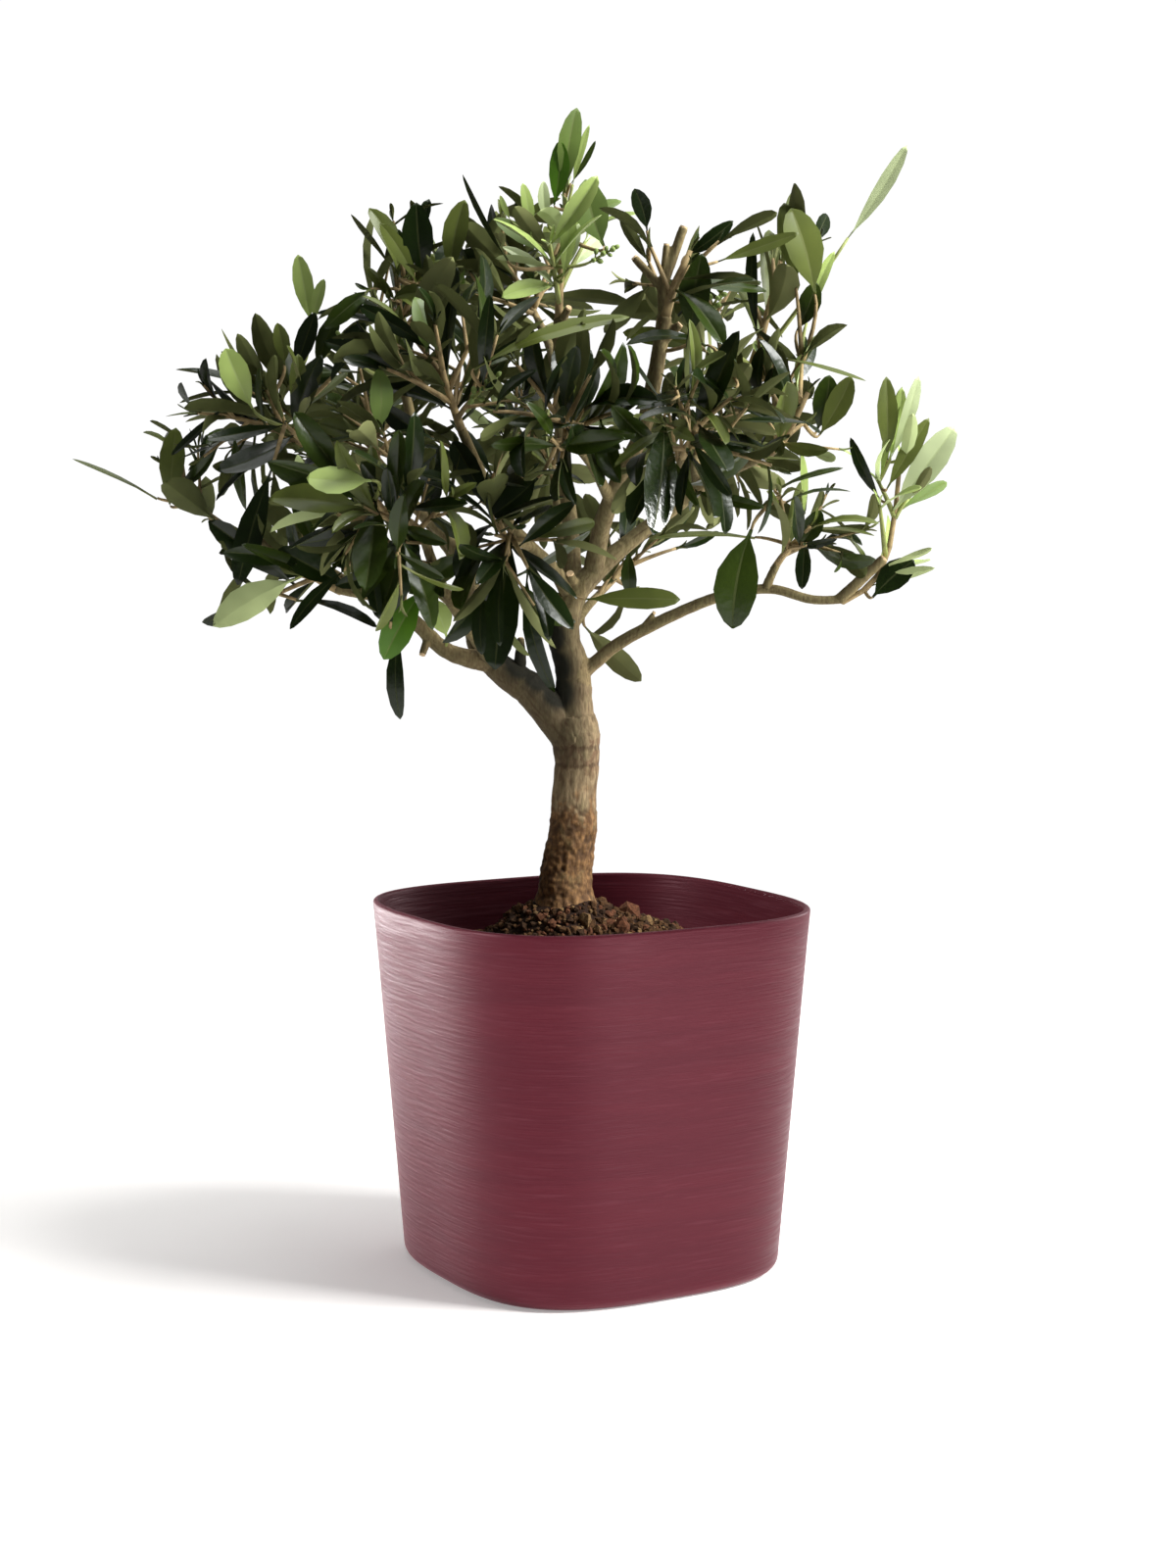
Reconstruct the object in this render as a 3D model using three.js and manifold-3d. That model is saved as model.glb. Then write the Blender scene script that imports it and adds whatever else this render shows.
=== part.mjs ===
// Olive bonsai in a rounded-square planter, as an assembly of pot, soil, trunk, boughs and foliage.
//
// Millimetres, +Z up. The origin is the centre of the pot's flat underside, and the pot's
// sides face along X and Y. The tree is drawn in a frame of its own, which is turned in the
// pot about the vertical: there X runs along the crown's width, Y to its back and Z up.

import * as THREE from 'three';
import { mergeVertices } from 'three/addons/utils/BufferGeometryUtils.js';
import Module from 'manifold-3d';

const wasm = await Module();
wasm.setup();
const { degToRad, radToDeg, lerp } = THREE.MathUtils;

// Driving dimensions of the pot
const potTopWidth = 195;
const potFootWidth = 168;
const potHeight = 181;
const potWall = 3;
const potFloor = 4;
const footRound = 7;
const rimRound = 1.2;
const squareness = 3.1; // exponent of the superellipse outline: 2 is a circle, more is squarer
const potSegments = 36;
const footSteps = 3; // straight steps round the foot
const rimSteps = 2; // straight steps round the outer edge of the rim

// Driving dimensions of the soil: a lumpy mound that falls from its crown to the walls, and is
// heaped against the trunk, which stands in a socket there
const soilSeatHeight = 170;
const soilCrownRadius = 33;
const soilWallHeight = 145;
const soilSteps = 6; // rings of faces on the slope
const soilCrownSteps = 4; // rings of faces on the crown
const soilHeap = { height: 18, width: 25 };
const soilLumps = { crossed: { height: 1.4, width: 8 }, slanting: { height: 0.8, width: 7 } };
const seatGap = 0.3; // clearance between two touching pieces

// Driving dimensions of the tree
const treeTurn = degToRad(-29.8);
const trunkSides = 10;
const boughSides = 5;
const boughStep = 19; // length of one straight step along a bough
const boughLeastSteps = 3;
const trunkExtraSteps = 4;
const limbClearance = 4.5; // free air between a leaf's sample points and any limb
const cellGap = 0.6; // free air between two neighbouring masses of foliage
const leafLength = 50;
const leafSlimness = 0.3; // width over length
const leafWidest = 0.45; // share of the length where a leaf is widest
const leafKeel = 0.2; // depth of the midrib below the margins, over the width
const leafSink = 0.7; // how far a leaf's root goes past the middle of its twig
const leafSpacing = 13; // distance between two pairs of leaves on a twig
const leafClearance = 4; // free air between the sample points of two leaves
const leafAttempts = 6;
const leafSpread = { butt: 66, fall: 34, stray: 40 }; // degrees off the twig, less towards its tip
const leafTurnStray = 1.6; // how far chance turns a leaf about its twig
const leafDroop = 0.3; // how far chance lowers a leaf's heading
const leafRoll = 1.4; // how far chance rolls a leaf about its own axis
const leafLengths = [0.8, 1.2]; // range over the usual length
const leafWidths = [0.85, 1.2]; // range over the usual width
const leafShrink = 0.08; // share of the length lost at each further attempt
const lastLeaf = 0.95; // share of a twig where its last pair stands
const stemRadius = 2.4;
const stemParts = 3;
const stemKnee = 0.4; // how far a stem runs straight on, over its distance to the heart
const stemPast = 0.2; // how far it goes past the heart, over the mass's height
const stemBare = 0.3; // share of a stem without leaves
const stemTwigs = [0.15, 0.9]; // shares of the stem between which twigs leave it
const twigRadius = 2;
const twigBare = 0.28;
const twigSpace = 0.78; // share of a mass's reach that its twigs keep to
const twigSpread = { butt: 75, fall: 38, stray: 20 }; // degrees off the stem, less towards its tip
const twigLengths = [0.65, 1]; // range over the mass's mean reach
const twigAttempts = 5;
const twigShrink = 0.8; // length at each further attempt over the length before
const twigTaper = 0.2;
const twigSides = 3;
const tipTwig = { from: 0.75, bare: 0.4, leaf: 0.8 }; // where it starts, and its leaf over the whole
const goldenAngle = degToRad(137.5);

// The trunk and each bough: the points of its centre line, and its radii spread evenly along it.
// A bough starts inside the limb that carries it and is cut clear of that limb's bark.
const limbs = [
  { name: 'trunk', girth: [20, 14, 12.4, 11.8, 11, 11.2, 12.6, 11],
    path: [[-12, -1, soilSeatHeight + seatGap], [-12, -1, 186], [-11, 0, 200], [-8, 0, 219],
      [-7, 0, 239], [-6, 0, 252], [-7, 0, 264], [-8, 0, 273]] },
  { name: 'leader', girth: [8.8, 8.2, 7.6, 7, 6.4, 5, 4.2, 3.6, 3],
    path: [[-7, 0, 262], [-7, 0, 281], [-8, 0, 298], [-12, 0, 313], [-8, 0, 332], [8, 5, 349],
      [33, 14, 369], [56, 21, 387], [70, 20, 412], [80, 13, 444]] },
  { name: 'bough_left', girth: [9, 7.4, 6.2, 5, 4.2, 3.4, 2.8, 2.4],
    path: [[-8, 0, 262], [-27, -2, 284], [-42, -3, 295], [-54, 2, 308], [-58, 12, 326],
      [-60, 20, 342], [-72, 24, 362], [-94, 16, 382], [-118, -2, 396], [-136, -12, 405]] },
  { name: 'bough_left_low', girth: [4.8, 4, 3.4, 2.8],
    path: [[-48, -3, 300], [-62, -10, 303], [-72, -14, 308], [-84, -19, 320], [-97, -23, 331],
      [-122, -27, 337]] },
  { name: 'bough_far_left', girth: [2.6, 2], path: [[-108, -25, 334], [-130, -12, 347],
    [-152, -3, 356], [-174, 2, 364]] },
  { name: 'bough_upper_left', girth: [3.2, 2.2], path: [[-76, 23, 366], [-82, 24, 394],
    [-90, 18, 428], [-95, 13, 452]] },
  { name: 'bough_back_left', girth: [3.4, 2.4], path: [[-60, 20, 342], [-80, 48, 366],
    [-110, 82, 400]] },
  { name: 'bough_front_left', girth: [3.6, 2.3], path: [[-46, -3, 299], [-58, -30, 318],
    [-70, -52, 340], [-77, -66, 362]] },
  { name: 'bough_centre_left', girth: [3.8, 3.2, 2.4], path: [[-9, 0, 331], [-17, -9, 345],
    [-31, -20, 359], [-43, -32, 374], [-52, -43, 393], [-60, -50, 412]] },
  { name: 'bough_low_front', girth: [2.3, 1.8], path: [[-29, -18, 357], [-33, -33, 358],
    [-38, -47, 358]] },
  { name: 'bough_top', girth: [4.6, 2.6], path: [[-8, 0, 334], [-9, 13, 362], [-13, 19, 400],
    [-15, 17, 436], [-15, 10, 468]] },
  { name: 'bough_back_top', girth: [2.6, 2], path: [[-15, 17, 438], [-20, 38, 456], [-26, 56, 470]] },
  { name: 'bough_back_centre', girth: [3.6, 2.5], path: [[-8, 0, 330], [-13, 34, 358], [-18, 66, 392]] },
  { name: 'bough_centre', girth: [4.8, 4, 3.6], path: [[2, 3, 344], [6, -6, 366], [14, -18, 388],
    [25, -33, 411], [31, -43, 438], [35, -48, 464]] },
  { name: 'bough_centre_front', girth: [2.8, 2], path: [[10, -13, 379], [2, -36, 394], [-7, -53, 405]] },
  { name: 'bough_front_right', girth: [2.8, 2], path: [[33, 14, 369], [40, -14, 385], [44, -50, 399]] },
  { name: 'bough_back_right', girth: [3, 2.2], path: [[54, 20, 385], [54, 48, 398], [59, 76, 413]] },
  { name: 'bough_right', girth: [2.8, 2.2], path: [[60, 21, 392], [73, 4, 395], [88, -15, 402]] },
  { name: 'bough_upper_back_right', girth: [2.6, 2], path: [[72, 20, 413], [69, 40, 440],
    [66, 56, 462]] },
  { name: 'bough_right_low', girth: [3.8, 3.2, 2.8, 2.4, 2.1], path: [[-9, 0, 290], [2, 0, 299],
    [16, 0, 310], [43, -5, 324], [66, -8, 333], [88, -10, 336], [108, -12, 331], [125, -12, 331]] },
  { name: 'bough_low_right', girth: [2.3, 1.9], path: [[86, -10, 336], [88, -11, 342], [91, -12, 348]] },
  { name: 'bough_low_back', girth: [2.6, 2], path: [[-11, 0, 313], [-2, 22, 325], [6, 42, 333]] },
];

// Each mass of foliage: the bough that carries it, the heart that its stem grows through, its
// reach from there along X, Y and Z, how many twigs leave the stem, how strongly they turn up,
// the size of its leaves against the usual, and the seed of its chances. Where the crown runs
// out to a lone leaf, tip is the end of that leaf.
const masses = [
  { name: 'foliage_far_left', on: 'bough_far_left', heart: [-204, 2, 390], reach: [52, 44, 36],
    twigs: 3, lift: 0.2, leaf: 0.85, seed: 21, tip: [-252, 0, 399] },
  { name: 'foliage_left', on: 'bough_left', heart: [-150, -12, 412], reach: [58, 58, 58],
    twigs: 6, lift: 0.3, leaf: 1, seed: 32 },
  { name: 'foliage_left_low', on: 'bough_left_low', heart: [-136, -32, 346], reach: [60, 54, 48],
    twigs: 5, lift: 0, leaf: 1, seed: 47 },
  { name: 'foliage_upper_left', on: 'bough_upper_left', heart: [-90, 10, 472], reach: [58, 60, 56],
    twigs: 6, lift: 0.35, leaf: 0.95, seed: 52 },
  { name: 'foliage_back_left', on: 'bough_back_left', heart: [-112, 90, 414], reach: [66, 60, 60],
    twigs: 5, lift: 0.2, leaf: 1, seed: 70 },
  { name: 'foliage_front_left', on: 'bough_front_left', heart: [-92, -80, 374], reach: [60, 56, 66],
    twigs: 6, lift: 0, leaf: 1, seed: 68 },
  { name: 'foliage_centre_left', on: 'bough_centre_left', heart: [-68, -62, 438], reach: [60, 56, 58],
    twigs: 6, lift: 0.3, leaf: 1, seed: 102 },
  { name: 'foliage_low_front', on: 'bough_low_front', heart: [-38, -68, 362], reach: [54, 52, 64],
    twigs: 5, lift: -0.4, leaf: 1.15, seed: 28, tip: [-44, -66, 300] },
  { name: 'foliage_top', on: 'bough_top', heart: [-12, 0, 506], reach: [48, 54, 62],
    twigs: 5, lift: 0.6, leaf: 0.9, seed: 35, tip: [-6, -4, 566] },
  { name: 'foliage_back_top', on: 'bough_back_top', heart: [-34, 74, 486], reach: [62, 58, 56],
    twigs: 5, lift: 0.3, leaf: 1, seed: 29 },
  { name: 'foliage_back_centre', on: 'bough_back_centre', heart: [-26, 92, 410], reach: [60, 56, 60],
    twigs: 5, lift: 0.1, leaf: 1, seed: 43 },
  { name: 'foliage_upper_centre', on: 'bough_centre', heart: [42, -50, 484], reach: [60, 56, 56],
    twigs: 6, lift: 0.4, leaf: 1, seed: 100 },
  { name: 'foliage_centre_front', on: 'bough_centre_front', heart: [-12, -80, 414], reach: [60, 54, 58],
    twigs: 6, lift: 0.1, leaf: 1, seed: 27 },
  { name: 'foliage_front_right', on: 'bough_front_right', heart: [48, -78, 410], reach: [58, 54, 56],
    twigs: 6, lift: 0, leaf: 1.05, seed: 80 },
  { name: 'foliage_upper_right', on: 'leader', heart: [90, 6, 482], reach: [48, 56, 66],
    twigs: 5, lift: 0.5, leaf: 1, seed: 44, tip: [153, 0, 549] },
  { name: 'foliage_upper_back_right', on: 'bough_upper_back_right', heart: [60, 66, 484],
    reach: [58, 56, 56], twigs: 5, lift: 0.3, leaf: 1, seed: 36 },
  { name: 'foliage_back_right', on: 'bough_back_right', heart: [62, 92, 416], reach: [64, 58, 58],
    twigs: 5, lift: 0.1, leaf: 1, seed: 8 },
  { name: 'foliage_right', on: 'bough_right', heart: [100, -26, 420], reach: [56, 56, 54],
    twigs: 6, lift: 0.2, leaf: 0.95, seed: 13 },
  { name: 'foliage_far_right', on: 'bough_right_low', heart: [150, -12, 386], reach: [32, 40, 62],
    twigs: 4, lift: 0.8, leaf: 0.9, seed: 36, tip: [176, -14, 414] },
  { name: 'foliage_low_right', on: 'bough_low_right', heart: [100, -18, 360], reach: [56, 52, 52],
    twigs: 5, lift: 0, leaf: 0.95, seed: 21 },
  { name: 'foliage_low_back', on: 'bough_low_back', heart: [20, 62, 346], reach: [54, 52, 50],
    twigs: 5, lift: -0.1, leaf: 1, seed: 35 },
];

const materials = {
  pot: new THREE.MeshStandardMaterial({ color: 0x74323f, roughness: 0.55, metalness: 0 }),
  soil: new THREE.MeshStandardMaterial({ color: 0x4a3426, roughness: 0.95, metalness: 0 }),
  bark: new THREE.MeshStandardMaterial({ color: 0x8a7659, roughness: 0.85, metalness: 0 }),
  foliage: new THREE.MeshStandardMaterial({ color: 0x46552f, roughness: 0.45, metalness: 0 }),
};

// Solids: three.js makes the shapes, and manifold-3d joins and cuts them

// The closed solid of a geometry, with shared vertices merged and collapsed triangles left out.
function solidOf(geometry) {
  const bare = new THREE.BufferGeometry();
  bare.setAttribute('position', geometry.getAttribute('position'));
  bare.setIndex(geometry.index);
  const merged = mergeVertices(bare, 1e-4);
  const corners = [];
  for (let i = 0; i < merged.index.count; i += 3) {
    const [a, b, c] = [0, 1, 2].map((k) => merged.index.getX(i + k));
    if (a !== b && b !== c && c !== a) corners.push(a, b, c);
  }
  return new wasm.Manifold(new wasm.Mesh({
    numProp: 3,
    vertProperties: new Float32Array(merged.attributes.position.array),
    triVerts: new Uint32Array(corners),
  }));
}

// The largest body of a solid: a sealed hollow is filled and a loose scrap is dropped.
function mainBody(solid) {
  return solid.decompose().reduce((best, body) => (body.volume() > best.volume() ? body : best));
}

function meshOf(name, solid, material) {
  const { vertProperties, triVerts } = solid.getMesh();
  const geometry = new THREE.BufferGeometry();
  geometry.setAttribute('position', new THREE.BufferAttribute(vertProperties, 3));
  geometry.setIndex(new THREE.BufferAttribute(triVerts, 1));
  geometry.computeVertexNormals();
  const mesh = new THREE.Mesh(geometry, material);
  mesh.name = name;
  return mesh;
}

// Pot and soil are turned profiles whose circle is drawn out to a rounded square

// A lift of each point, by its place across and its height, is optional.
function roundedSquare(profile, lift = () => 0) {
  const geometry = new THREE.LatheGeometry(profile, potSegments).rotateX(Math.PI / 2);
  const position = geometry.getAttribute('position');
  for (let i = 0; i < position.count; i += 1) {
    const angle = Math.atan2(position.getY(i), position.getX(i));
    const draw = (Math.abs(Math.cos(angle)) ** squareness + Math.abs(Math.sin(angle)) ** squareness)
      ** (-1 / squareness);
    const [x, y, z] = [position.getX(i) * draw, position.getY(i) * draw, position.getZ(i)];
    position.setXYZ(i, x, y, z + lift(x, y, z));
  }
  return solidOf(geometry);
}

// Half width of the pot's outer wall at a height above its underside.
const potHalfWidth = (z) => lerp(potFootWidth, potTopWidth, z / potHeight) / 2;

function quarterArc(centreX, centreY, radius, startAngle, endAngle, steps) {
  return Array.from({ length: steps + 1 }, (_, i) => {
    const angle = lerp(startAngle, endAngle, i / steps);
    return new THREE.Vector2(centreX + radius * Math.cos(angle), centreY + radius * Math.sin(angle));
  });
}

function makePot() {
  const inner = (z) => potHalfWidth(z) - potWall;
  const foot = [potHalfWidth(footRound) - footRound, footRound, footRound];
  const rim = [potHalfWidth(potHeight) - rimRound, potHeight - rimRound, rimRound];
  return roundedSquare([
    new THREE.Vector2(0, 0),
    ...quarterArc(...foot, -Math.PI / 2, 0, footSteps),
    ...quarterArc(...rim, 0, Math.PI / 2, rimSteps),
    new THREE.Vector2(inner(potHeight), potHeight),
    new THREE.Vector2(inner(potFloor + footRound), potFloor + footRound),
    new THREE.Vector2(inner(potFloor) - footRound, potFloor),
    new THREE.Vector2(0, potFloor),
  ]);
}

// Trunk and boughs

const vectors = (points) => points.map((point) => new THREE.Vector3(...point));
const limbCurve = (limb) => new THREE.CatmullRomCurve3(vectors(limb.path), false, 'catmullrom', 0.5);

// Radius of a limb at a share of the way from butt to tip.
function girthAt(limb, share) {
  const place = share * (limb.girth.length - 1);
  const before = Math.min(Math.floor(place), limb.girth.length - 2);
  return lerp(limb.girth[before], limb.girth[before + 1], place - before);
}

// A tapering tube along a curve: a cylinder whose rings are laid square to the curve.
function tube(curve, radiusAt, sides, steps) {
  const cylinder = new THREE.CylinderGeometry(1, 1, 1, sides, steps);
  const frames = [];
  let across = new THREE.Vector3(1, 0, 0);
  for (let ring = 0; ring <= steps; ring += 1) {
    const share = ring / steps;
    const along = curve.getTangent(share);
    if (Math.abs(along.dot(across)) > 0.9) across = new THREE.Vector3(0, 1, 0);
    across = across.clone().addScaledVector(along, -across.dot(along)).normalize();
    const over = along.clone().cross(across);
    frames.push({ centre: curve.getPoint(share), across, over, radius: radiusAt(share) });
  }
  const position = cylinder.getAttribute('position');
  for (let i = 0; i < position.count; i += 1) {
    const { centre, across: side, over, radius } = frames[Math.round((position.getY(i) + 0.5) * steps)];
    const point = centre.clone()
      .addScaledVector(side, radius * position.getZ(i))
      .addScaledVector(over, radius * position.getX(i));
    position.setXYZ(i, point.x, point.y, point.z);
  }
  return solidOf(cylinder);
}

function limbTube(limb, extra) {
  const curve = limbCurve(limb);
  const isTrunk = limb.name === 'trunk';
  const steps = Math.max(boughLeastSteps, Math.round(curve.getLength() / boughStep))
    + (isTrunk ? trunkExtraSteps : 0);
  return tube(curve, (share) => girthAt(limb, share) + extra, isTrunk ? trunkSides : boughSides, steps);
}

// Each limb is cut clear of the bark of the limbs before it.
function makeLimbs() {
  const solids = new Map();
  const bark = [];
  for (const limb of limbs) {
    const cut = bark.reduce((left, earlier) => left.subtract(earlier), limbTube(limb, 0));
    solids.set(limb.name, mainBody(cut));
    bark.push(limbTube(limb, seatGap));
  }
  return solids;
}

// Soil

// How the soil's slope is lumped: two crossed waves and a slanting one.
function soilLump(x, y) {
  const { crossed, slanting } = soilLumps;
  return crossed.height * Math.sin(x / crossed.width) * Math.sin(y / crossed.width)
    + slanting.height * Math.sin((x + y) / slanting.width);
}

// How high the soil is heaped at a place, by its distance from the trunk's foot.
function soilHeaped(x, y) {
  const [footX, footY] = limbs[0].path[0];
  const foot = new THREE.Vector2(footX, footY).rotateAround(new THREE.Vector2(), treeTurn);
  const away = foot.distanceTo(new THREE.Vector2(x, y)) / soilHeap.width;
  return soilHeap.height * Math.exp(-away * away);
}

function makeSoil() {
  const wall = (z) => potHalfWidth(z) - potWall - seatGap;
  const floor = potFloor + seatGap;
  const slope = Array.from({ length: soilSteps }, (_, i) => new THREE.Vector2(
    lerp(wall(soilWallHeight), soilCrownRadius, i / soilSteps),
    lerp(soilWallHeight, soilSeatHeight, i / soilSteps),
  ));
  const crown = Array.from({ length: soilCrownSteps + 1 }, (_, i) => (
    new THREE.Vector2(soilCrownRadius * (1 - i / soilCrownSteps), soilSeatHeight)));
  const mound = roundedSquare([
    new THREE.Vector2(0, floor),
    new THREE.Vector2(wall(potFloor) - footRound, floor),
    new THREE.Vector2(wall(potFloor + footRound), potFloor + footRound),
    ...slope,
    ...crown,
  ], (x, y, z) => {
    if (z <= soilWallHeight) return 0;
    return soilHeaped(x, y) + (z < soilSeatHeight ? soilLump(x, y) : 0);
  });
  const socket = limbTube(limbs[0], 2 * seatGap)
    .rotate([0, 0, radToDeg(treeTurn)])
    .translate([0, 0, -seatGap]);
  return mainBody(mound.subtract(socket));
}

// Foliage

// A repeatable run of chances between 0 and 1: the minimal standard generator.
function chances(seed) {
  const modulus = 2147483647;
  let state = (seed * 7368787) % modulus;
  return () => {
    state = (state * 16807) % modulus;
    return state / modulus;
  };
}

const up = new THREE.Vector3(0, 0, 1);

// Two directions square to a heading, and to each other.
function sideways(heading) {
  const level = Math.abs(heading.z) > 0.95 ? new THREE.Vector3(1, 0, 0) : up;
  const across = heading.clone().cross(level).normalize();
  return [across, heading.clone().cross(across)];
}

// The direction that leaves a heading at an angle, on the side that a turn about it gives.
function leaving(heading, angle, turn) {
  const [across, over] = sideways(heading);
  return heading.clone().multiplyScalar(Math.cos(angle))
    .addScaledVector(across, Math.sin(angle) * Math.cos(turn))
    .addScaledVector(over, Math.sin(angle) * Math.sin(turn));
}

// A twig as a run of straight joints: the place at a share of the way, and the heading there.
const twigPart = (twig, share) => Math.min(Math.floor(share * (twig.length - 1)), twig.length - 2);
function pointAt(twig, share) {
  const part = twigPart(twig, share);
  return twig[part].clone().lerp(twig[part + 1], share * (twig.length - 1) - part);
}
function headingAt(twig, share) {
  const part = twigPart(twig, share);
  return twig[part + 1].clone().sub(twig[part]).normalize();
}
const twigLength = (twig) => twig.slice(1).reduce((sum, joint, i) => sum + joint.distanceTo(twig[i]), 0);

// The stem of a mass starts at its bough's tip and bends through the heart.
function stemCurve(mass) {
  const curve = limbCurve(limbs.find((limb) => limb.name === mass.on));
  const along = curve.getTangent(1);
  const heart = new THREE.Vector3(...mass.heart);
  const from = curve.getPoint(1).addScaledVector(along, seatGap);
  const knee = from.clone().addScaledVector(along, stemKnee * from.distanceTo(heart));
  const past = heart.clone().sub(knee).normalize();
  const to = heart.clone().addScaledVector(past, stemPast * mass.reach[2]);
  return new THREE.QuadraticBezierCurve3(from, knee, to);
}
const stemCurves = masses.map(stemCurve);
const stems = stemCurves.map((curve) => curve.getPoints(stemParts));

// Round beads along every limb, which leaves and twigs keep clear of.
const beadsPerLimb = 48;
const limbBeads = limbs.flatMap((limb) => {
  const curve = limbCurve(limb);
  return Array.from({ length: beadsPerLimb + 1 }, (_, i) => (
    { centre: curve.getPoint(i / beadsPerLimb), radius: girthAt(limb, i / beadsPerLimb) }));
});
const beadsPerStem = 12;
const beadsPerTwig = 8;
const stemBeads = masses.map((_, m) => Array.from({ length: beadsPerStem + 1 }, (__, i) => (
  { centre: pointAt(stems[m], i / beadsPerStem), radius: stemRadius })));

// How far a mass reaches around its heart, and the square of that, its weight against its neighbours.
const meanReach = ({ reach }) => (reach[0] + reach[1] + reach[2]) / 3;
const weightOf = (mass) => meanReach(mass) ** 2;
const hearts = masses.map((mass) => new THREE.Vector3(...mass.heart));

// Whether a point is in a mass's own space: inside a share of its reach, and on its own side of
// the flat borders with its neighbours.
function inOwnSpace(point, index, share) {
  const mass = masses[index];
  const offset = point.clone().sub(hearts[index]);
  const reached = offset.clone().divide(new THREE.Vector3(...mass.reach));
  if (reached.lengthSq() > share * share) return false;
  const own = offset.lengthSq() - weightOf(mass);
  return masses.every((other, j) => {
    if (j === index) return true;
    const theirs = point.distanceToSquared(hearts[j]) - weightOf(other);
    return (theirs - own) / (2 * hearts[index].distanceTo(hearts[j])) > cellGap;
  });
}

function clearOfWood(point, index, clearance) {
  const clear = (bead) => point.distanceTo(bead.centre) > bead.radius + clearance;
  return limbBeads.every(clear) && stemBeads.every((beads, j) => j === index || beads.every(clear));
}

// A leaf has a root, an axis, a face, a length and a width. Its blade is a kite, from the root by
// a corner on each side to the tip, with the midrib as a keel below.
const leafPoint = (leaf, along, wide, above) => leaf.root.clone()
  .addScaledVector(leaf.axis, along * leaf.length)
  .addScaledVector(leaf.across, wide * leaf.width / 2)
  .addScaledVector(leaf.face, above);

function leafCorners(leaf) {
  const margin = leafKeel * leaf.width;
  return [
    leafPoint(leaf, -leafSink / leaf.length, 0, 0),
    leafPoint(leaf, leafWidest, -1, margin),
    leafPoint(leaf, leafWidest, 1, margin),
    leafPoint(leaf, 1, 0, 0),
  ];
}

// Points spread over the blade, which tell it from limbs, twigs and other leaves.
function leafSamples(leaf) {
  return [0.2, 0.35, 0.5, 0.65, 0.8, 0.98].flatMap((along) => [-0.7, 0, 0.7].map((wide) => (
    leafPoint(leaf, along, wide * Math.sin(Math.PI * along), 0))));
}

function leafSolid(leaf) {
  const geometry = new THREE.BufferGeometry().setFromPoints(leafCorners(leaf));
  geometry.setIndex([0, 2, 1, 3, 1, 2, 0, 1, 3, 0, 3, 2]);
  return solidOf(geometry);
}

// One leaf on a twig. Each further attempt is shorter and turns further to find room.
function leafFrom(twig, share, turn, attempt, mass, draw) {
  const heading = headingAt(twig, share);
  const stray = (1 + attempt) / 2;
  const { butt, fall, stray: range } = leafSpread;
  const angle = degToRad(butt - fall * share + range * stray * (draw() - 0.5));
  const axis = leaving(heading, angle, turn + leafTurnStray * stray * (draw() - 0.5));
  axis.z -= leafDroop * draw();
  axis.normalize();
  const face = heading.clone().addScaledVector(axis, -heading.dot(axis)).normalize();
  face.applyAxisAngle(axis, leafRoll * (draw() - 0.5));
  const length = leafLength * mass.leaf * lerp(...leafLengths, draw()) * (1 - leafShrink * attempt);
  const width = length * leafSlimness * lerp(...leafWidths, draw());
  return { root: pointAt(twig, share), axis, face, across: axis.clone().cross(face), length, width };
}

// A twig from a place on the stem, shortened until it stays in the mass's space.
function twigFrom(stem, share, turn, mass, index, draw) {
  const { butt, fall, stray } = twigSpread;
  const angle = degToRad(butt - fall * share + stray * (draw() - 0.5));
  const away = leaving(headingAt(stem, share), angle, turn).addScaledVector(up, mass.lift).normalize();
  const from = pointAt(stem, share);
  let length = lerp(...twigLengths, draw()) * meanReach(mass);
  for (let attempt = 0; attempt < twigAttempts; attempt += 1) {
    const twig = [from, from.clone().addScaledVector(away, length)];
    const clear = [0.4, 0.7, 1].every((place) => {
      const point = pointAt(twig, place);
      return inOwnSpace(point, index, twigSpace) && clearOfWood(point, index, twigRadius + 1);
    });
    if (clear) return { twig, bare: twigBare };
    length *= twigShrink;
  }
  return null;
}

// The shoot that carries a mass's lone leaf, and that leaf.
function tipShoot(stem, mass) {
  const tip = new THREE.Vector3(...mass.tip);
  const from = pointAt(stem, tipTwig.from);
  const axis = tip.clone().sub(from).normalize();
  const length = Math.min(leafLength, tipTwig.leaf * from.distanceTo(tip));
  const root = tip.clone().addScaledVector(axis, -length);
  const [face] = sideways(axis);
  const leaf = { root, axis, face, across: axis.clone().cross(face), length, width: length * leafSlimness };
  return { twig: [from, root.clone().addScaledVector(axis, 2 * leafSink)], leaf };
}

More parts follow.
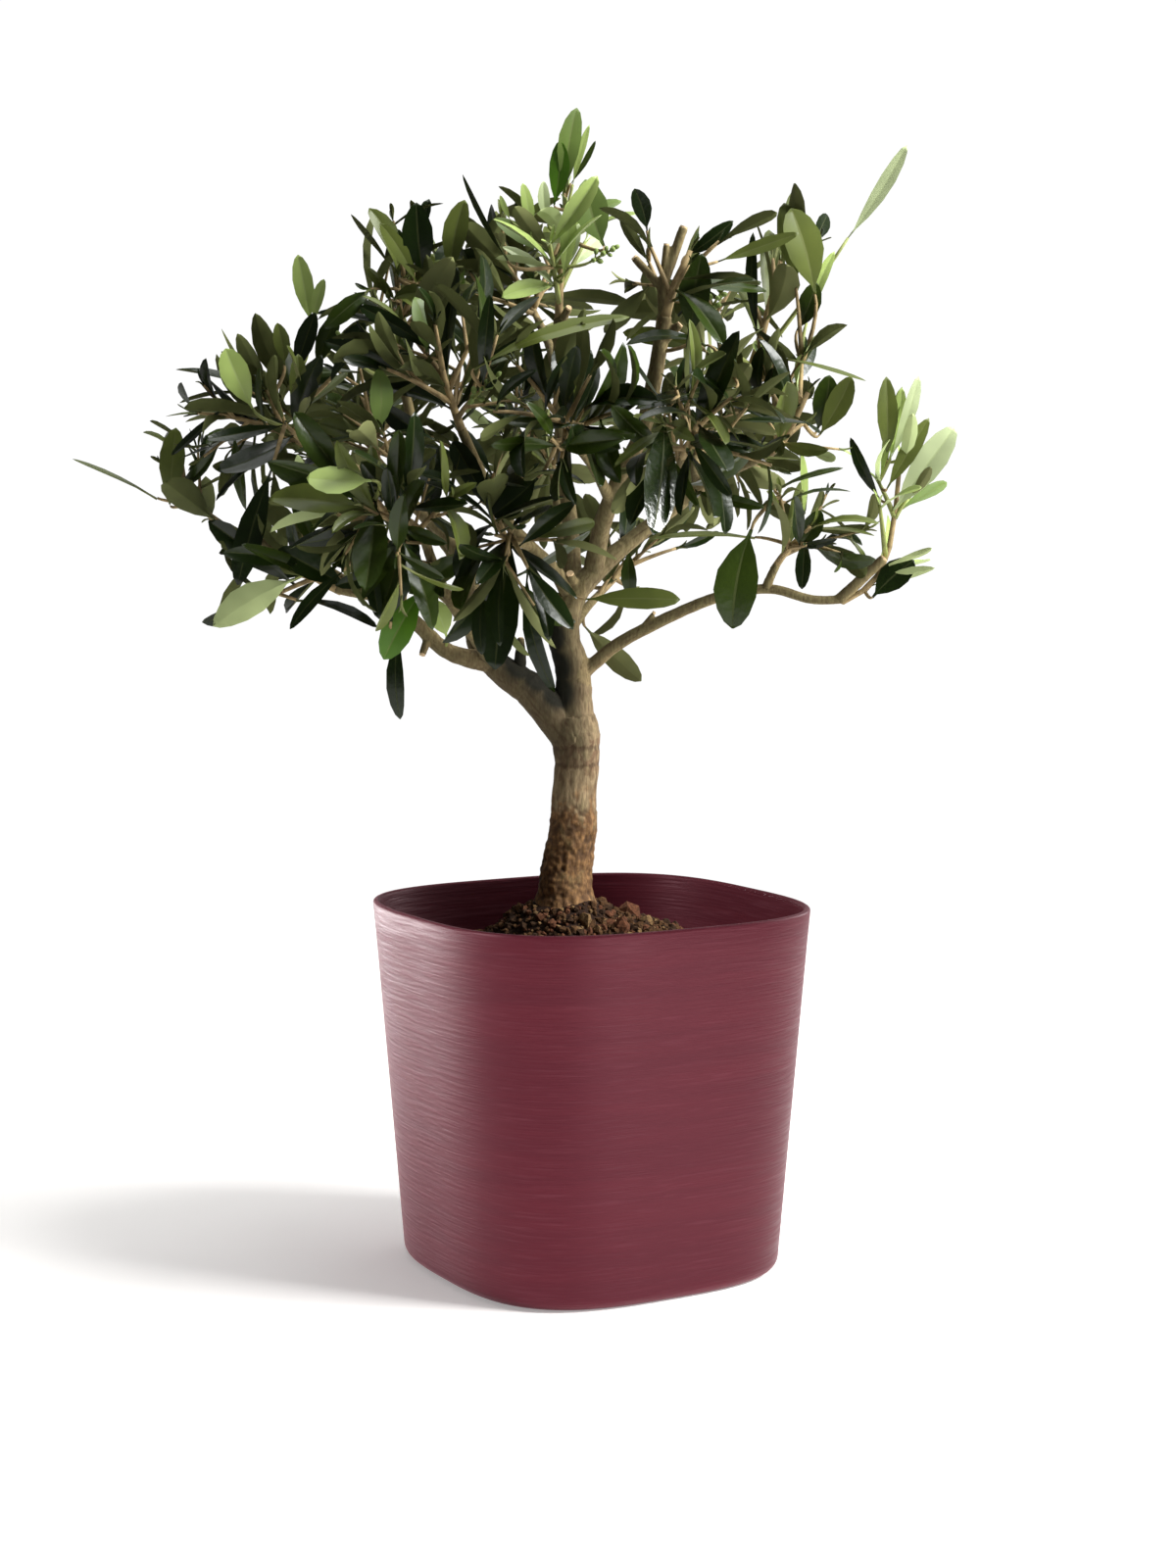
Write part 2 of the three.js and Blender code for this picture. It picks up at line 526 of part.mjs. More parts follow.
// Grows a mass: twigs spiral up the stem, and pairs of leaves stand crosswise along each twig.
function growMass(mass, index) {
  const draw = chances(mass.seed);
  const stem = stems[index];
  const shoots = [{ twig: stem, bare: stemBare }];
  const leaves = [];
  if (mass.tip) {
    const { twig, leaf } = tipShoot(stem, mass);
    shoots.push({ twig, bare: tipTwig.bare });
    leaves.push(leaf);
  }
  const firstTurn = 2 * Math.PI * draw();
  for (let k = 0; k < mass.twigs; k += 1) {
    const share = lerp(...stemTwigs, (k + 0.5 * draw()) / mass.twigs);
    const grown = twigFrom(stem, share, firstTurn + k * goldenAngle, mass, index, draw);
    if (grown) shoots.push(grown);
  }
  const twigBeads = shoots.map(({ twig }) => (
    Array.from({ length: beadsPerTwig + 1 }, (_, i) => pointAt(twig, i / beadsPerTwig))));
  const taken = leaves.flatMap(leafSamples);
  const fits = (leaf, shoot) => {
    const free = (point) => clearOfWood(point, index, limbClearance)
      && taken.every((other) => point.distanceTo(other) > leafClearance)
      && twigBeads.every((beads, t) => t === shoot
        || beads.every((bead) => point.distanceTo(bead) > leafClearance));
    return leafCorners(leaf).slice(1).every((point) => inOwnSpace(point, index, 1))
      && leafSamples(leaf).every(free);
  };
  shoots.forEach(({ twig, bare }, shoot) => {
    const pairs = Math.max(2, Math.round(twigLength(twig) * (lastLeaf - bare) / leafSpacing) + 1);
    const startTurn = 2 * Math.PI * draw();
    for (let place = 0; place < 2 * pairs; place += 1) {
      const pair = Math.floor(place / 2);
      const share = lerp(bare, lastLeaf, pair / (pairs - 1));
      const turn = startTurn + pair * Math.PI / 2 + (place % 2) * Math.PI;
      for (let attempt = 0; attempt < leafAttempts; attempt += 1) {
        const leaf = leafFrom(twig, share, turn, attempt, mass, draw);
        if (!fits(leaf, shoot)) continue;
        leaves.push(leaf);
        taken.push(...leafSamples(leaf));
        break;
      }
    }
  });
  return { shoots: shoots.map(({ twig }) => twig), leaves };
}

// The solid of a mass: three-sided shoots with the leaves fused on.
function massSolid({ shoots, leaves }, index) {
  const taper = (radius) => (share) => radius * (1 - twigTaper * share);
  const [, ...twigs] = shoots;
  return mainBody(wasm.Manifold.union([
    tube(stemCurves[index], taper(stemRadius), twigSides, stemParts),
    ...twigs.map(([from, to]) => tube(new THREE.LineCurve3(from, to), taper(twigRadius), twigSides, 1)),
    ...leaves.map(leafSolid),
  ]));
}

// Assembly

const bonsai = new THREE.Group();
bonsai.add(meshOf('pot', makePot(), materials.pot), meshOf('soil', makeSoil(), materials.soil));

const tree = new THREE.Group();
tree.rotation.z = treeTurn;
for (const [name, solid] of makeLimbs()) tree.add(meshOf(name, solid, materials.bark));
masses.forEach((mass, index) => {
  tree.add(meshOf(mass.name, massSolid(growMass(mass, index), index), materials.foliage));
});
bonsai.add(tree);

export default bonsai;
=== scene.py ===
import functools
import math
from typing import NamedTuple

import bmesh
import bpy
import numpy as np
from mathutils import Matrix, Vector, kdtree, noise


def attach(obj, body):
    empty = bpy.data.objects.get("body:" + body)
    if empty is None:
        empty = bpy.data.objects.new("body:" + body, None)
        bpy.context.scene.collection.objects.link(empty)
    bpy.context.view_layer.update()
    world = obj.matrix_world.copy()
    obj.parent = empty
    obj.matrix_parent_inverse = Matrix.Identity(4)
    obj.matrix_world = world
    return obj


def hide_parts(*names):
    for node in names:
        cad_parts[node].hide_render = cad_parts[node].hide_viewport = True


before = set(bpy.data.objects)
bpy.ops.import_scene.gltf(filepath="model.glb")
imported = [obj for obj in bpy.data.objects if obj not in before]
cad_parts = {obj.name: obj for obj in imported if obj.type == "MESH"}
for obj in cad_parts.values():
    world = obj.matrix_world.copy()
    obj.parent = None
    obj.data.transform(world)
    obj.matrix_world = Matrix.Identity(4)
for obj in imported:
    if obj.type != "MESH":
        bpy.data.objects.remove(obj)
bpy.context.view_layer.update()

bl_info = {
    "name": "Olive Bonsai",
    "version": (1, 0, 0),
    "blender": (4, 5, 0),
    "location": "3D View > Sidebar > Bonsai",
    "description": "Builds an olive bonsai in a rounded-square planter, with a stage",
    "category": "Object",
}

MM = 0.001  # lengths in the tables and in the growth rule are millimetres

# The tree stands in a frame of its own, turned in the pot about the vertical: X runs along the
# crown's width, Y to its back and Z up.
TREE_TURN = math.radians(-29.8)
TREE_TO_POT = np.array(Matrix.Rotation(TREE_TURN, 3, "Z"))

# Where the camera stands, in the tree's frame, and how far it looks down.
EYE = np.array((-0.67, -1279.5, 370))
EYE_TILT = math.radians(5.816)

# Trunk and boughs: radii spread evenly from butt to tip, and the points of the centre line.
LIMBS = {
    "trunk": ((20, 14, 12.4, 11.8, 11, 11.2, 12.6, 11),
              ((-12, -1, 170.3), (-12, -1, 186), (-11, 0, 200), (-8, 0, 219), (-7, 0, 239),
               (-6, 0, 252), (-7, 0, 264), (-8, 0, 273))),
    "leader": ((8.8, 8.2, 7.6, 7, 6.4, 5, 4.2, 3.6, 3),
               ((-7, 0, 262), (-7, 0, 281), (-8, 0, 298), (-12, 0, 313), (-8, 0, 332), (8, 5, 349),
                (33, 14, 369), (56, 21, 387), (70, 20, 412), (80, 13, 444))),
    "bough_left": ((9, 7.4, 6.2, 5, 4.2, 3.4, 2.8, 2.4),
                   ((-8, 0, 262), (-27, -2, 284), (-42, -3, 295), (-54, 2, 308), (-58, 12, 326),
                    (-60, 20, 342), (-72, 24, 362), (-94, 16, 382), (-118, -2, 396), (-136, -12, 405))),
    "bough_left_low": ((4.8, 4, 3.4, 2.8),
                       ((-48, -3, 300), (-62, -10, 303), (-72, -14, 308), (-84, -19, 320),
                        (-97, -23, 331), (-122, -27, 337))),
    "bough_far_left": ((2.6, 2), ((-108, -25, 334), (-130, -12, 347), (-152, -3, 356), (-174, 2, 364))),
    "bough_upper_left": ((3.2, 2.2), ((-76, 23, 366), (-82, 24, 394), (-90, 18, 428), (-95, 13, 452))),
    "bough_back_left": ((3.4, 2.4), ((-60, 20, 342), (-80, 48, 366), (-110, 82, 400))),
    "bough_front_left": ((3.6, 2.3),
                         ((-46, -3, 299), (-58, -30, 318), (-70, -52, 340), (-77, -66, 362))),
    "bough_centre_left": ((3.8, 3.2, 2.4),
                          ((-9, 0, 331), (-17, -9, 345), (-31, -20, 359), (-43, -32, 374),
                           (-52, -43, 393), (-60, -50, 412))),
    "bough_low_front": ((2.3, 1.8), ((-29, -18, 357), (-33, -33, 358), (-38, -47, 358))),
    "bough_top": ((4.6, 2.6),
                  ((-8, 0, 334), (-9, 13, 362), (-13, 19, 400), (-15, 17, 436), (-15, 10, 468))),
    "bough_back_top": ((2.6, 2), ((-15, 17, 438), (-20, 38, 456), (-26, 56, 470))),
    "bough_back_centre": ((3.6, 2.5), ((-8, 0, 330), (-13, 34, 358), (-18, 66, 392))),
    "bough_centre": ((4.8, 4, 3.6),
                     ((2, 3, 344), (6, -6, 366), (14, -18, 388), (25, -33, 411), (31, -43, 438),
                      (35, -48, 464))),
    "bough_centre_front": ((2.8, 2), ((10, -13, 379), (2, -36, 394), (-7, -53, 405))),
    "bough_front_right": ((2.8, 2), ((33, 14, 369), (40, -14, 385), (44, -50, 399))),
    "bough_back_right": ((3, 2.2), ((54, 20, 385), (54, 48, 398), (59, 76, 413))),
    "bough_right": ((2.8, 2.2), ((60, 21, 392), (73, 4, 395), (88, -15, 402))),
    "bough_upper_back_right": ((2.6, 2), ((72, 20, 413), (69, 40, 440), (66, 56, 462))),
    "bough_right_low": ((3.8, 3.2, 2.8, 2.4, 2.1),
                        ((-9, 0, 290), (2, 0, 299), (16, 0, 310), (43, -5, 324), (66, -8, 333),
                         (88, -10, 336), (108, -12, 331), (125, -12, 331))),
    "bough_low_right": ((2.3, 1.9), ((86, -10, 336), (88, -11, 342), (91, -12, 348))),
    "bough_low_back": ((2.6, 2), ((-11, 0, 313), (-2, 22, 325), (6, 42, 333))),
}
MAIN_LIMBS = ("trunk", "leader", "bough_left", "bough_left_low", "bough_right_low")
SMALL_LIMBS = [name for name in LIMBS if name not in MAIN_LIMBS]


class Mass(NamedTuple):
    """A mass of foliage: what carries it, where its heart is and how it grows from there."""

    name: str
    limb: str
    heart: tuple
    reach: tuple  # half sizes of the space that it fills
    twigs: int
    lift: float  # how far its twigs turn upwards
    leaf: float  # length of its leaves over the usual one
    seed: int
    tip: tuple = None  # where the lone leaf at its end ends
    palette: str = "old"
    fine: tuple = (0.3, 0.5, 0.7, 0.88)  # shares of its twigs where finer shoots leave them


MASSES = (
    Mass("far_left", "bough_far_left", (-204, 2, 390), (52, 44, 36), 3, 0.2, 0.85, 21, (-252, 0, 399)),
    Mass("left", "bough_left", (-150, -12, 412), (58, 58, 58), 6, 0.3, 1, 32, palette="shaded"),
    Mass("left_low", "bough_left_low", (-136, -32, 346), (60, 54, 48), 5, 0, 1, 47, palette="shaded"),
    Mass("upper_left", "bough_upper_left", (-90, 10, 472), (58, 60, 56), 6, 0.35, 0.95, 52),
    Mass("back_left", "bough_back_left", (-112, 90, 414), (66, 60, 60), 5, 0.2, 1, 70, palette="shaded"),
    Mass("front_left", "bough_front_left", (-92, -80, 374), (60, 56, 66), 6, 0, 1, 68, palette="shaded"),
    Mass("centre_left", "bough_centre_left", (-68, -62, 438), (60, 56, 58), 6, 0.3, 1, 102,
         palette="shaded"),
    Mass("low_front", "bough_low_front", (-38, -68, 362), (54, 52, 64), 5, -0.4, 1.15, 28,
         (-44, -66, 300), "shaded"),
    Mass("top", "bough_top", (-12, 0, 506), (48, 54, 62), 5, 0.6, 0.9, 35, (-6, -4, 566), "young", ()),
    Mass("back_top", "bough_back_top", (-34, 74, 486), (62, 58, 56), 5, 0.3, 1, 29, palette="shaded"),
    Mass("back_centre", "bough_back_centre", (-26, 92, 410), (60, 56, 60), 5, 0.1, 1, 43,
         palette="shaded"),
    Mass("upper_centre", "bough_centre", (42, -50, 484), (60, 56, 56), 6, 0.4, 1, 100),
    Mass("centre_front", "bough_centre_front", (-12, -80, 414), (60, 54, 58), 6, 0.1, 1, 27,
         palette="shaded"),
    Mass("front_right", "bough_front_right", (48, -78, 410), (58, 54, 56), 6, 0, 1.05, 80),
    Mass("upper_right", "leader", (90, 6, 482), (48, 56, 66), 5, 0.5, 1, 44, (153, 0, 549), "old", ()),
    Mass("upper_back_right", "bough_upper_back_right", (60, 66, 484), (58, 56, 56), 5, 0.3, 1, 36),
    Mass("back_right", "bough_back_right", (62, 92, 416), (64, 58, 58), 5, 0.1, 1, 8, palette="shaded"),
    Mass("right", "bough_right", (100, -26, 420), (56, 56, 54), 6, 0.2, 0.95, 13),
    Mass("far_right", "bough_right_low", (150, -12, 386), (32, 40, 62), 4, 0.8, 0.9, 36,
         (176, -14, 414), "young", ()),
    Mass("low_right", "bough_low_right", (100, -18, 360), (56, 52, 52), 5, 0, 0.95, 21),
    Mass("low_back", "bough_low_back", (20, 62, 346), (54, 52, 50), 5, -0.1, 1, 35, palette="shaded"),
)
MASS_NUMBER = {mass.name: number for number, mass in enumerate(MASSES)}
FOLIAGE_NODES = [f"foliage_{mass.name}" for mass in MASSES]

# How a spray's colour is drawn: each palette's colours with their shares.
PALETTES = {
    "old": (("dark", 0.42), ("mid", 0.26), ("olive", 0.23), ("young", 0.09)),
    "shaded": (("dark", 0.6), ("mid", 0.25), ("olive", 0.12), ("young", 0.03)),
    "young": (("young", 0.55), ("fresh", 0.3), ("pale", 0.15)),
}


class LoneLeaf(NamedTuple):
    """A leaf that stands out of the crown: its blade, the way its upper side looks, and its colour."""

    root: tuple
    tip: tuple
    width: float
    facing: tuple
    tint: str
    stem: tuple = None  # where its twig leaves the wood, if that isn't the nearest place


# The ways that the upper side of such a leaf looks.
FRONT = (0, -1, 0.3)
SHADED = (-0.35, -1, 0)
BACK = (0, 1, 0.2)
LEVEL = (0, -0.4, 1)
LEFTWARDS = (-0.8, -0.6, 0)
GLEAM = (0.66, -0.62, 0.42)
SUNNY = (0.5, -0.8, 0.3)
TILTED = (0.2, -0.8, 0.6)
SLANTED = (0, -0.7, 0.7)

LONE_LEAVES = (
    LoneLeaf((-12, -2, 526), (-6, -4, 566), 11, FRONT, "fresh"),
    LoneLeaf((-211, 0, 380), (-252, 0, 399), 4, LEVEL, "olive"),
    LoneLeaf((125, -1, 505), (153, 0, 549), 8, SHADED, "pale", (80, 13, 443)),
    LoneLeaf((-36, -60, 362), (-44, -66, 300), 21, SHADED, "dark"),
    LoneLeaf((-142, -14, 439), (-131, -18, 468), 10, FRONT, "dark"),
    LoneLeaf((-132, -10, 442), (-121, -14, 467), 10, FRONT, "mid"),
    LoneLeaf((-146, -18, 443), (-149, -20, 463), 8, FRONT, "olive"),
    LoneLeaf((-121, -16, 441), (-107, -20, 463), 11, FRONT, "dark"),
    LoneLeaf((-24, -56, 389), (-46, -60, 371), 14, FRONT, "dark"),
    LoneLeaf((-69, -20, 313), (-76, -22, 331), 12, FRONT, "young"),
    LoneLeaf((100, -8, 460), (109, -10, 483), 11, FRONT, "mid"),
    LoneLeaf((105, -4, 464), (118, -6, 498), 6, FRONT, "young"),
    LoneLeaf((94, -20, 378), (125, -24, 383), 6, LEVEL, "mid"),
    LoneLeaf((89, -24, 384), (121, -28, 394), 6, LEVEL, "mid"),
    LoneLeaf((54, -60, 450), (17, -62, 450), 13, LEVEL, "dark"),
    LoneLeaf((81, 0, 361), (30, -4, 360), 8, LEVEL, "olive"),
    LoneLeaf((-113, -56, 338), (-145, -60, 356), 13, FRONT, "dark"),
    LoneLeaf((-93, -58, 322), (-83, -62, 365), 18, FRONT, "dark"),
    LoneLeaf((-17, -4, 520), (-14, -8, 550), 10, FRONT, "bright"),
    LoneLeaf((-8, -2, 530), (0, -4, 558), 4, FRONT, "young"),
    LoneLeaf((-9, 2, 531), (3, 6, 552), 3, FRONT, "mid"),
    LoneLeaf((7, -10, 500), (-2, -14, 531), 17, FRONT, "fresh"),
    LoneLeaf((-13, -14, 484), (-10, -20, 520), 8, FRONT, "young"),
    LoneLeaf((-10, -12, 490), (-5, -16, 510), 7, FRONT, "pale"),
    LoneLeaf((-20, -6, 511), (-22, -8, 531), 6, FRONT, "pale"),
    LoneLeaf((-28, -6, 505), (-32, -8, 530), 6, FRONT, "young"),
    LoneLeaf((-38, -2, 513), (-43, -2, 525), 3, FRONT, "young"),
    LoneLeaf((-39, -20, 492), (-60, -24, 532), 5, LEFTWARDS, "mid"),
    LoneLeaf((-79, -20, 484), (-82, -24, 519), 15, FRONT, "dark"),
    LoneLeaf((-66, -22, 485), (-59, -26, 520), 12, FRONT, "olive"),
    LoneLeaf((-82, -24, 481), (-99, -26, 509), 8, FRONT, "olive"),
    LoneLeaf((-75, -66, 446), (-80, -70, 471), 14, SUNNY, "fresh"),
    LoneLeaf((-135, 0, 464), (-141, 0, 497), 10, FRONT, "young"),
    LoneLeaf((-133, -5, 464), (-128, -5, 485), 6, FRONT, "young"),
    LoneLeaf((-205, 0, 377), (-201, -2, 414), 13, FRONT, "olive"),
    LoneLeaf((-161, -8, 413), (-198, -10, 399), 6, LEVEL, "dark"),
    LoneLeaf((-159, -12, 415), (-204, -14, 419), 6, LEVEL, "olive"),
    LoneLeaf((-149, -50, 393), (-165, -54, 339), 15, SHADED, "dark"),
    LoneLeaf((-138, -56, 342), (-176, -60, 320), 16, BACK, "young"),
    LoneLeaf((-138, -50, 332), (-100, -50, 319), 9, LEVEL, "dark"),
    LoneLeaf((-97, -112, 387), (-126, -112, 388), 16, TILTED, "young"),
    LoneLeaf((-91, -30, 318), (-91, -30, 274), 10, SHADED, "dark"),
    LoneLeaf((-78, -52, 338), (-97, -52, 304), 15, FRONT, "bright"),
    LoneLeaf((-30, -14, 346), (-17, -14, 286), 9, SHADED, "dark"),
    LoneLeaf((-52, -95, 437), (18, -95, 460), 9, SLANTED, "olive"),
    LoneLeaf((67, -70, 430), (21, -76, 420), 17, LEVEL, "waxy"),
    LoneLeaf((34, -85, 416), (28, -122, 363), 20, GLEAM, "waxy"),
    LoneLeaf((48, -52, 454), (52, -56, 492), 15, FRONT, "mid"),
    LoneLeaf((27, -40, 504), (21, -44, 523), 9, FRONT, "dark"),
    LoneLeaf((45, -44, 492), (67, -46, 508), 8, FRONT, "dark"),
    LoneLeaf((60, -38, 490), (98, -40, 503), 7, FRONT, "olive"),
    LoneLeaf((80, -30, 455), (77, -34, 504), 6, SHADED, "dark"),
    LoneLeaf((99, -12, 481), (93, -14, 520), 13, FRONT, "olive"),
    LoneLeaf((108, -15, 477), (96, -18, 517), 19, FRONT, "olive"),
    LoneLeaf((110, -6, 412), (116, -8, 439), 13, FRONT, "mid"),
    LoneLeaf((111, -10, 410), (126, -14, 438), 12, FRONT, "olive"),
    LoneLeaf((92, -30, 446), (131, -32, 435), 6, LEVEL, "olive"),
    LoneLeaf((144, -12, 398), (143, -12, 438), 10, FRONT, "olive"),
    LoneLeaf((145, -16, 399), (158, -16, 438), 7, FRONT, "pale"),
    LoneLeaf((145, -8, 398), (151, -8, 433), 7, FRONT, "young"),
    LoneLeaf((143, -18, 384), (163, -18, 418), 9, FRONT, "olive"),
    LoneLeaf((147, -14, 374), (176, -14, 414), 15, FRONT, "pale"),
    LoneLeaf((141, -12, 379), (126, -12, 409), 6, SHADED, "dark"),
    LoneLeaf((137, -16, 332), (157, -16, 350), 14, FRONT, "dark"),
    LoneLeaf((77, -36, 365), (68, -40, 318), 21, FRONT, "mid"),
    LoneLeaf((101, -20, 356), (111, -24, 374), 10, FRONT, "mid"),
    LoneLeaf((104, -14, 362), (103, -14, 336), 8, SHADED, "dark"),
    LoneLeaf((-2, -10, 331), (44, -14, 331), 11, FRONT, "olive"),
    LoneLeaf((-2, 25, 316), (26, 25, 289), 12, BACK, "olive"),
    LoneLeaf((20, 20, 355), (21, 20, 332), 8, FRONT, "mid"),
    LoneLeaf((-160, -30, 422), (-172, -34, 450), 14, FRONT, "young"),
    LoneLeaf((-97, -78, 409), (-96, -82, 438), 13, SUNNY, "fresh"),
    LoneLeaf((-114, -66, 346), (-139, -70, 319), 7, FRONT, "dark"),
)

# Panicles of flower buds: where the stalk's first buds stand, and its tip.
PANICLES = (
    ((-55, -84, 422), (-41, -90, 435)),
    ((0, -14, 492), (13, -17, 499)),
    ((-112, -14, 446), (-120, -20, 458)),
    ((58, -6, 470), (66, -12, 482)),
)

# Openings of the crown, as the camera sees them at the trunk's depth: the middle and half size across
# and up, and how far back the leaves are left out. The first ones show what is behind the tree, the
# last ones a twig or leaf of the tree itself.
SKY = 300  # behind the whole crown
OPENINGS = np.array((
    (40, 348, 19, 11, SKY), (63, 525, 29, 13, SKY), (-122, 488, 15, 17, SKY), (127, 429, 13, 29, SKY),
    (128, 384, 10, 19, SKY), (66, 496, 13, 11, SKY), (-230, 393, 22, 19, SKY), (-216, 372, 14, 10, SKY),
    (-162, 312, 19, 9, SKY), (-123, 312, 12, 10, SKY), (21, 541, 13, 14, SKY), (-29, 539, 10, 12, SKY),
    (112, 483, 12, 19, SKY), (11, 492, 17, 7, SKY), (167, 370, 13, 9, SKY), (38, 506, 15, 18, SKY),
    (112, 316, 24, 9, SKY), (30, 317, 26, 10, SKY), (58, 332, 12, 12, SKY),
    (35, 462, 12, 27, -44), (-66, 432, 11, 22, -56), (31, 484, 13, 14, -44), (-122, 389, 17, 10, -106),
    (-165, 329, 20, 11, -54), (-170, 437, 11, 15, -34), (-103, 428, 9, 16, -82), (35, 391, 10, 26, -98),
    (-50, 434, 9, 9, -82), (81, 353, 15, 8, -10),
))

# Short shoots that grow straight on a limb: the limb, the shares along it, and the mass they belong to
LIMB_SHOOTS = (
    ("bough_front_left", (0.45, 0.62, 0.8, 0.95), "front_left"),
    ("bough_left_low", (0.55, 0.7, 0.85), "left_low"),
    ("bough_left", (0.6, 0.72, 0.84, 0.95), "left"),
    ("bough_centre_left", (0.5, 0.7, 0.85), "centre_left"),
    ("bough_back_left", (0.5, 0.75), "back_left"),
    ("bough_back_centre", (0.5, 0.8), "back_centre"),
    ("bough_front_right", (0.6, 0.8, 0.95), "front_right"),
    ("bough_back_right", (0.55, 0.75, 0.95), "back_right"),
    ("bough_right", (0.6, 0.85), "right"),
    ("bough_upper_back_right", (0.5, 0.75, 0.95), "upper_back_right"),
    ("bough_low_back", (0.6, 0.85), "low_back"),
    ("bough_back_top", (0.6, 0.9), "back_top"),
)

# Pruned stubs: the limb, the share of the way along it, where the cut end is from there, radius, and
# the place on the way to it up to which some stubs are one stem.
STUBS = (
    ("leader", 0.42, (-15, -6, 8), 2.6),
    ("leader", 0.46, (-3, -9, 9), 2.2),
    ("bough_left_low", 0.5, (-3, -4, -9), 1.8),
    ("bough_left", 0.42, (-10, -5, 3), 2.2),
    ("bough_left", 0.62, (6, -6, 7), 1.8),
    ("bough_top", 0.96, (5, -8, 9), 1.9),
    ("bough_centre", 0.9, (9, -3, 9), 2),
    ("bough_right_low", 0.62, (4, -5, 8), 1.6),
    ("bough_centre_left", 0.6, (-8, -4, 5), 1.7),
    ("leader", 0.95, (8, -6, 9), 1.9),
    ("bough_centre", 0.99, (-14, -3, 28), 1.9, (-1, -1, 14)),
    ("bough_centre", 0.99, (1, -3, 34), 1.6, (-1, -1, 14)),
    ("bough_centre", 0.99, (9, -2, 42), 2.2, (-1, -1, 14)),
    ("bough_right_low", 0.97, (21, -3, 20), 2.4),
    ("bough_right_low", 0.33, (8, -4, 10), 1.1),
    ("bough_left", 0.163, (1, -3, 22), 1.4),
)

# Sizes of the growth rule
SEAT_GAP = 0.3  # clearance between two touching pieces
LIMB_CLEARANCE = 4.5  # free air between a leaf's sample points and any limb
CELL_GAP = 0.6  # free air between two neighbouring masses of foliage
LEAF_LENGTH = 50
LEAF_SLIMNESS = 0.3  # width over length
LEAF_WIDEST = 0.45  # share of the length where a leaf is widest
LEAF_KEEL = 0.2  # depth of the midrib below the margins, over the width
LEAF_SINK = 0.7  # how far a leaf's root goes past the middle of its twig
LEAF_SPACING = 13  # distance between two pairs of leaves on a twig
LEAF_CLEARANCE = 4  # free air between the sample points of two leaves
LEAF_ATTEMPTS = 6
LEAF_SPREAD = (66, 34, 40)  # degrees off the twig, how much less towards its tip, and by chance
LEAF_TURN_STRAY = 1.6  # how far chance turns a leaf about its twig
LEAF_DROOP = 0.3  # how far chance lowers a leaf's heading
LEAF_ROLL = 1.4  # how far chance rolls a leaf about its own axis
LEAF_LENGTHS = (0.8, 1.2)  # range over the usual length
LEAF_WIDTHS = (0.85, 1.2)  # range over the usual width
LEAF_SHRINK = 0.08  # share of the length lost at each further attempt
LAST_LEAF = 0.95  # share of a twig where its last pair stands
STEM_RADIUS = 2.4
STEM_PARTS = 3
STEM_KNEE = 0.4  # how far a stem runs straight on, over its distance to the heart
STEM_PAST = 0.2  # how far it goes past the heart, over the mass's height
STEM_BARE = 0.3  # share of a stem without leaves
STEM_TWIGS = (0.15, 0.9)  # shares of the stem between which twigs leave it
TWIG_RADIUS = 2
TWIG_BARE = 0.28
TWIG_SPACE = 0.78  # share of a mass's reach that its twigs keep to
TWIG_CLEARANCE = 1  # free air between a twig and any limb
TWIG_SAMPLES = (0.4, 0.7, 1)  # shares of a twig where its room is looked at
TWIG_SPREAD = (75, 38, 20)  # degrees off the stem, how much less towards its tip, and by chance
TWIG_LENGTHS = (0.65, 1)  # range over the mass's mean reach
TWIG_ATTEMPTS = 5
TWIG_SHRINK = 0.8  # length at each further attempt over the length before
TIP_FROM = 0.75  # share of the stem where the twig of the lone leaf leaves it
TIP_BARE = 0.4
TIP_LEAF = 0.8  # most of the lone leaf's length over the way to its tip
GOLDEN_ANGLE = math.radians(137.5)
LIMB_BEADS, STEM_BEADS, TWIG_BEADS = 48, 12, 8  # steps of the points that stand for the wood
UP = np.array((0.0, 0.0, 1.0))


# Growth rule

def unit(vector):
    return vector / np.linalg.norm(vector)


def between(limits, share):
    """The value at a share of the way from one limit to the other."""
    return limits[0] + (limits[1] - limits[0]) * share


def hump(share):
    """A rise from 0 to 1 halfway, and back to 0."""
    return 4 * share * (1 - share)


def crossed(start, place):
    """The turn of a leaf about its twig: leaves stand in pairs, each pair across the one before."""
    return start + place // 2 * math.pi / 2 + place % 2 * math.pi


def bent(start, knee, end, steps):
    """Points of a curve that leaves its start towards a knee and reaches its end from there."""
    steps = steps[:, None]
    return (1 - steps) ** 2 * start + 2 * steps * (1 - steps) * knee + steps ** 2 * end


def chances(seed):
    """A repeatable run of chances between 0 and 1: the minimal standard generator."""
    modulus, multiplier = 2147483647, 16807
    scatter = 7368787  # sets neighbouring seeds far apart
    state = seed * scatter % modulus

    def draw():
        nonlocal state
        state = state * multiplier % modulus
        return state / modulus

    return draw


def limb_point(name, share):
    """Point of a limb's centre line, a Catmull-Rom curve drawn straight on at its ends."""
    points = np.array(LIMBS[name][1], float)
    last = len(points) - 1
    part = min(int(share * last), last - 1)
    t = share * last - part
    a, b = points[part], points[part + 1]
    before = points[part - 1] if part else 2 * a - b
    after = points[part + 2] if part + 2 <= last else 2 * b - a
    start, end = (b - before) / 2, (after - a) / 2
    bend = 3 * (b - a) - 2 * start - end
    return a + start * t + bend * t ** 2 + (2 * (a - b) + start + end) * t ** 3


def limb_heading(name, share):
    step = 1e-4
    return unit(limb_point(name, min(1, share + step)) - limb_point(name, max(0, share - step)))


def limb_radius(name, share):
    radii = LIMBS[name][0]
    return float(np.interp(share * (len(radii) - 1), range(len(radii)), radii))


def sideways(heading):
    """Two directions square to a heading, and to each other."""
    level = np.array((1.0, 0, 0)) if abs(heading[2]) > 0.95 else UP
    across = unit(np.cross(heading, level))
    return across, np.cross(heading, across)


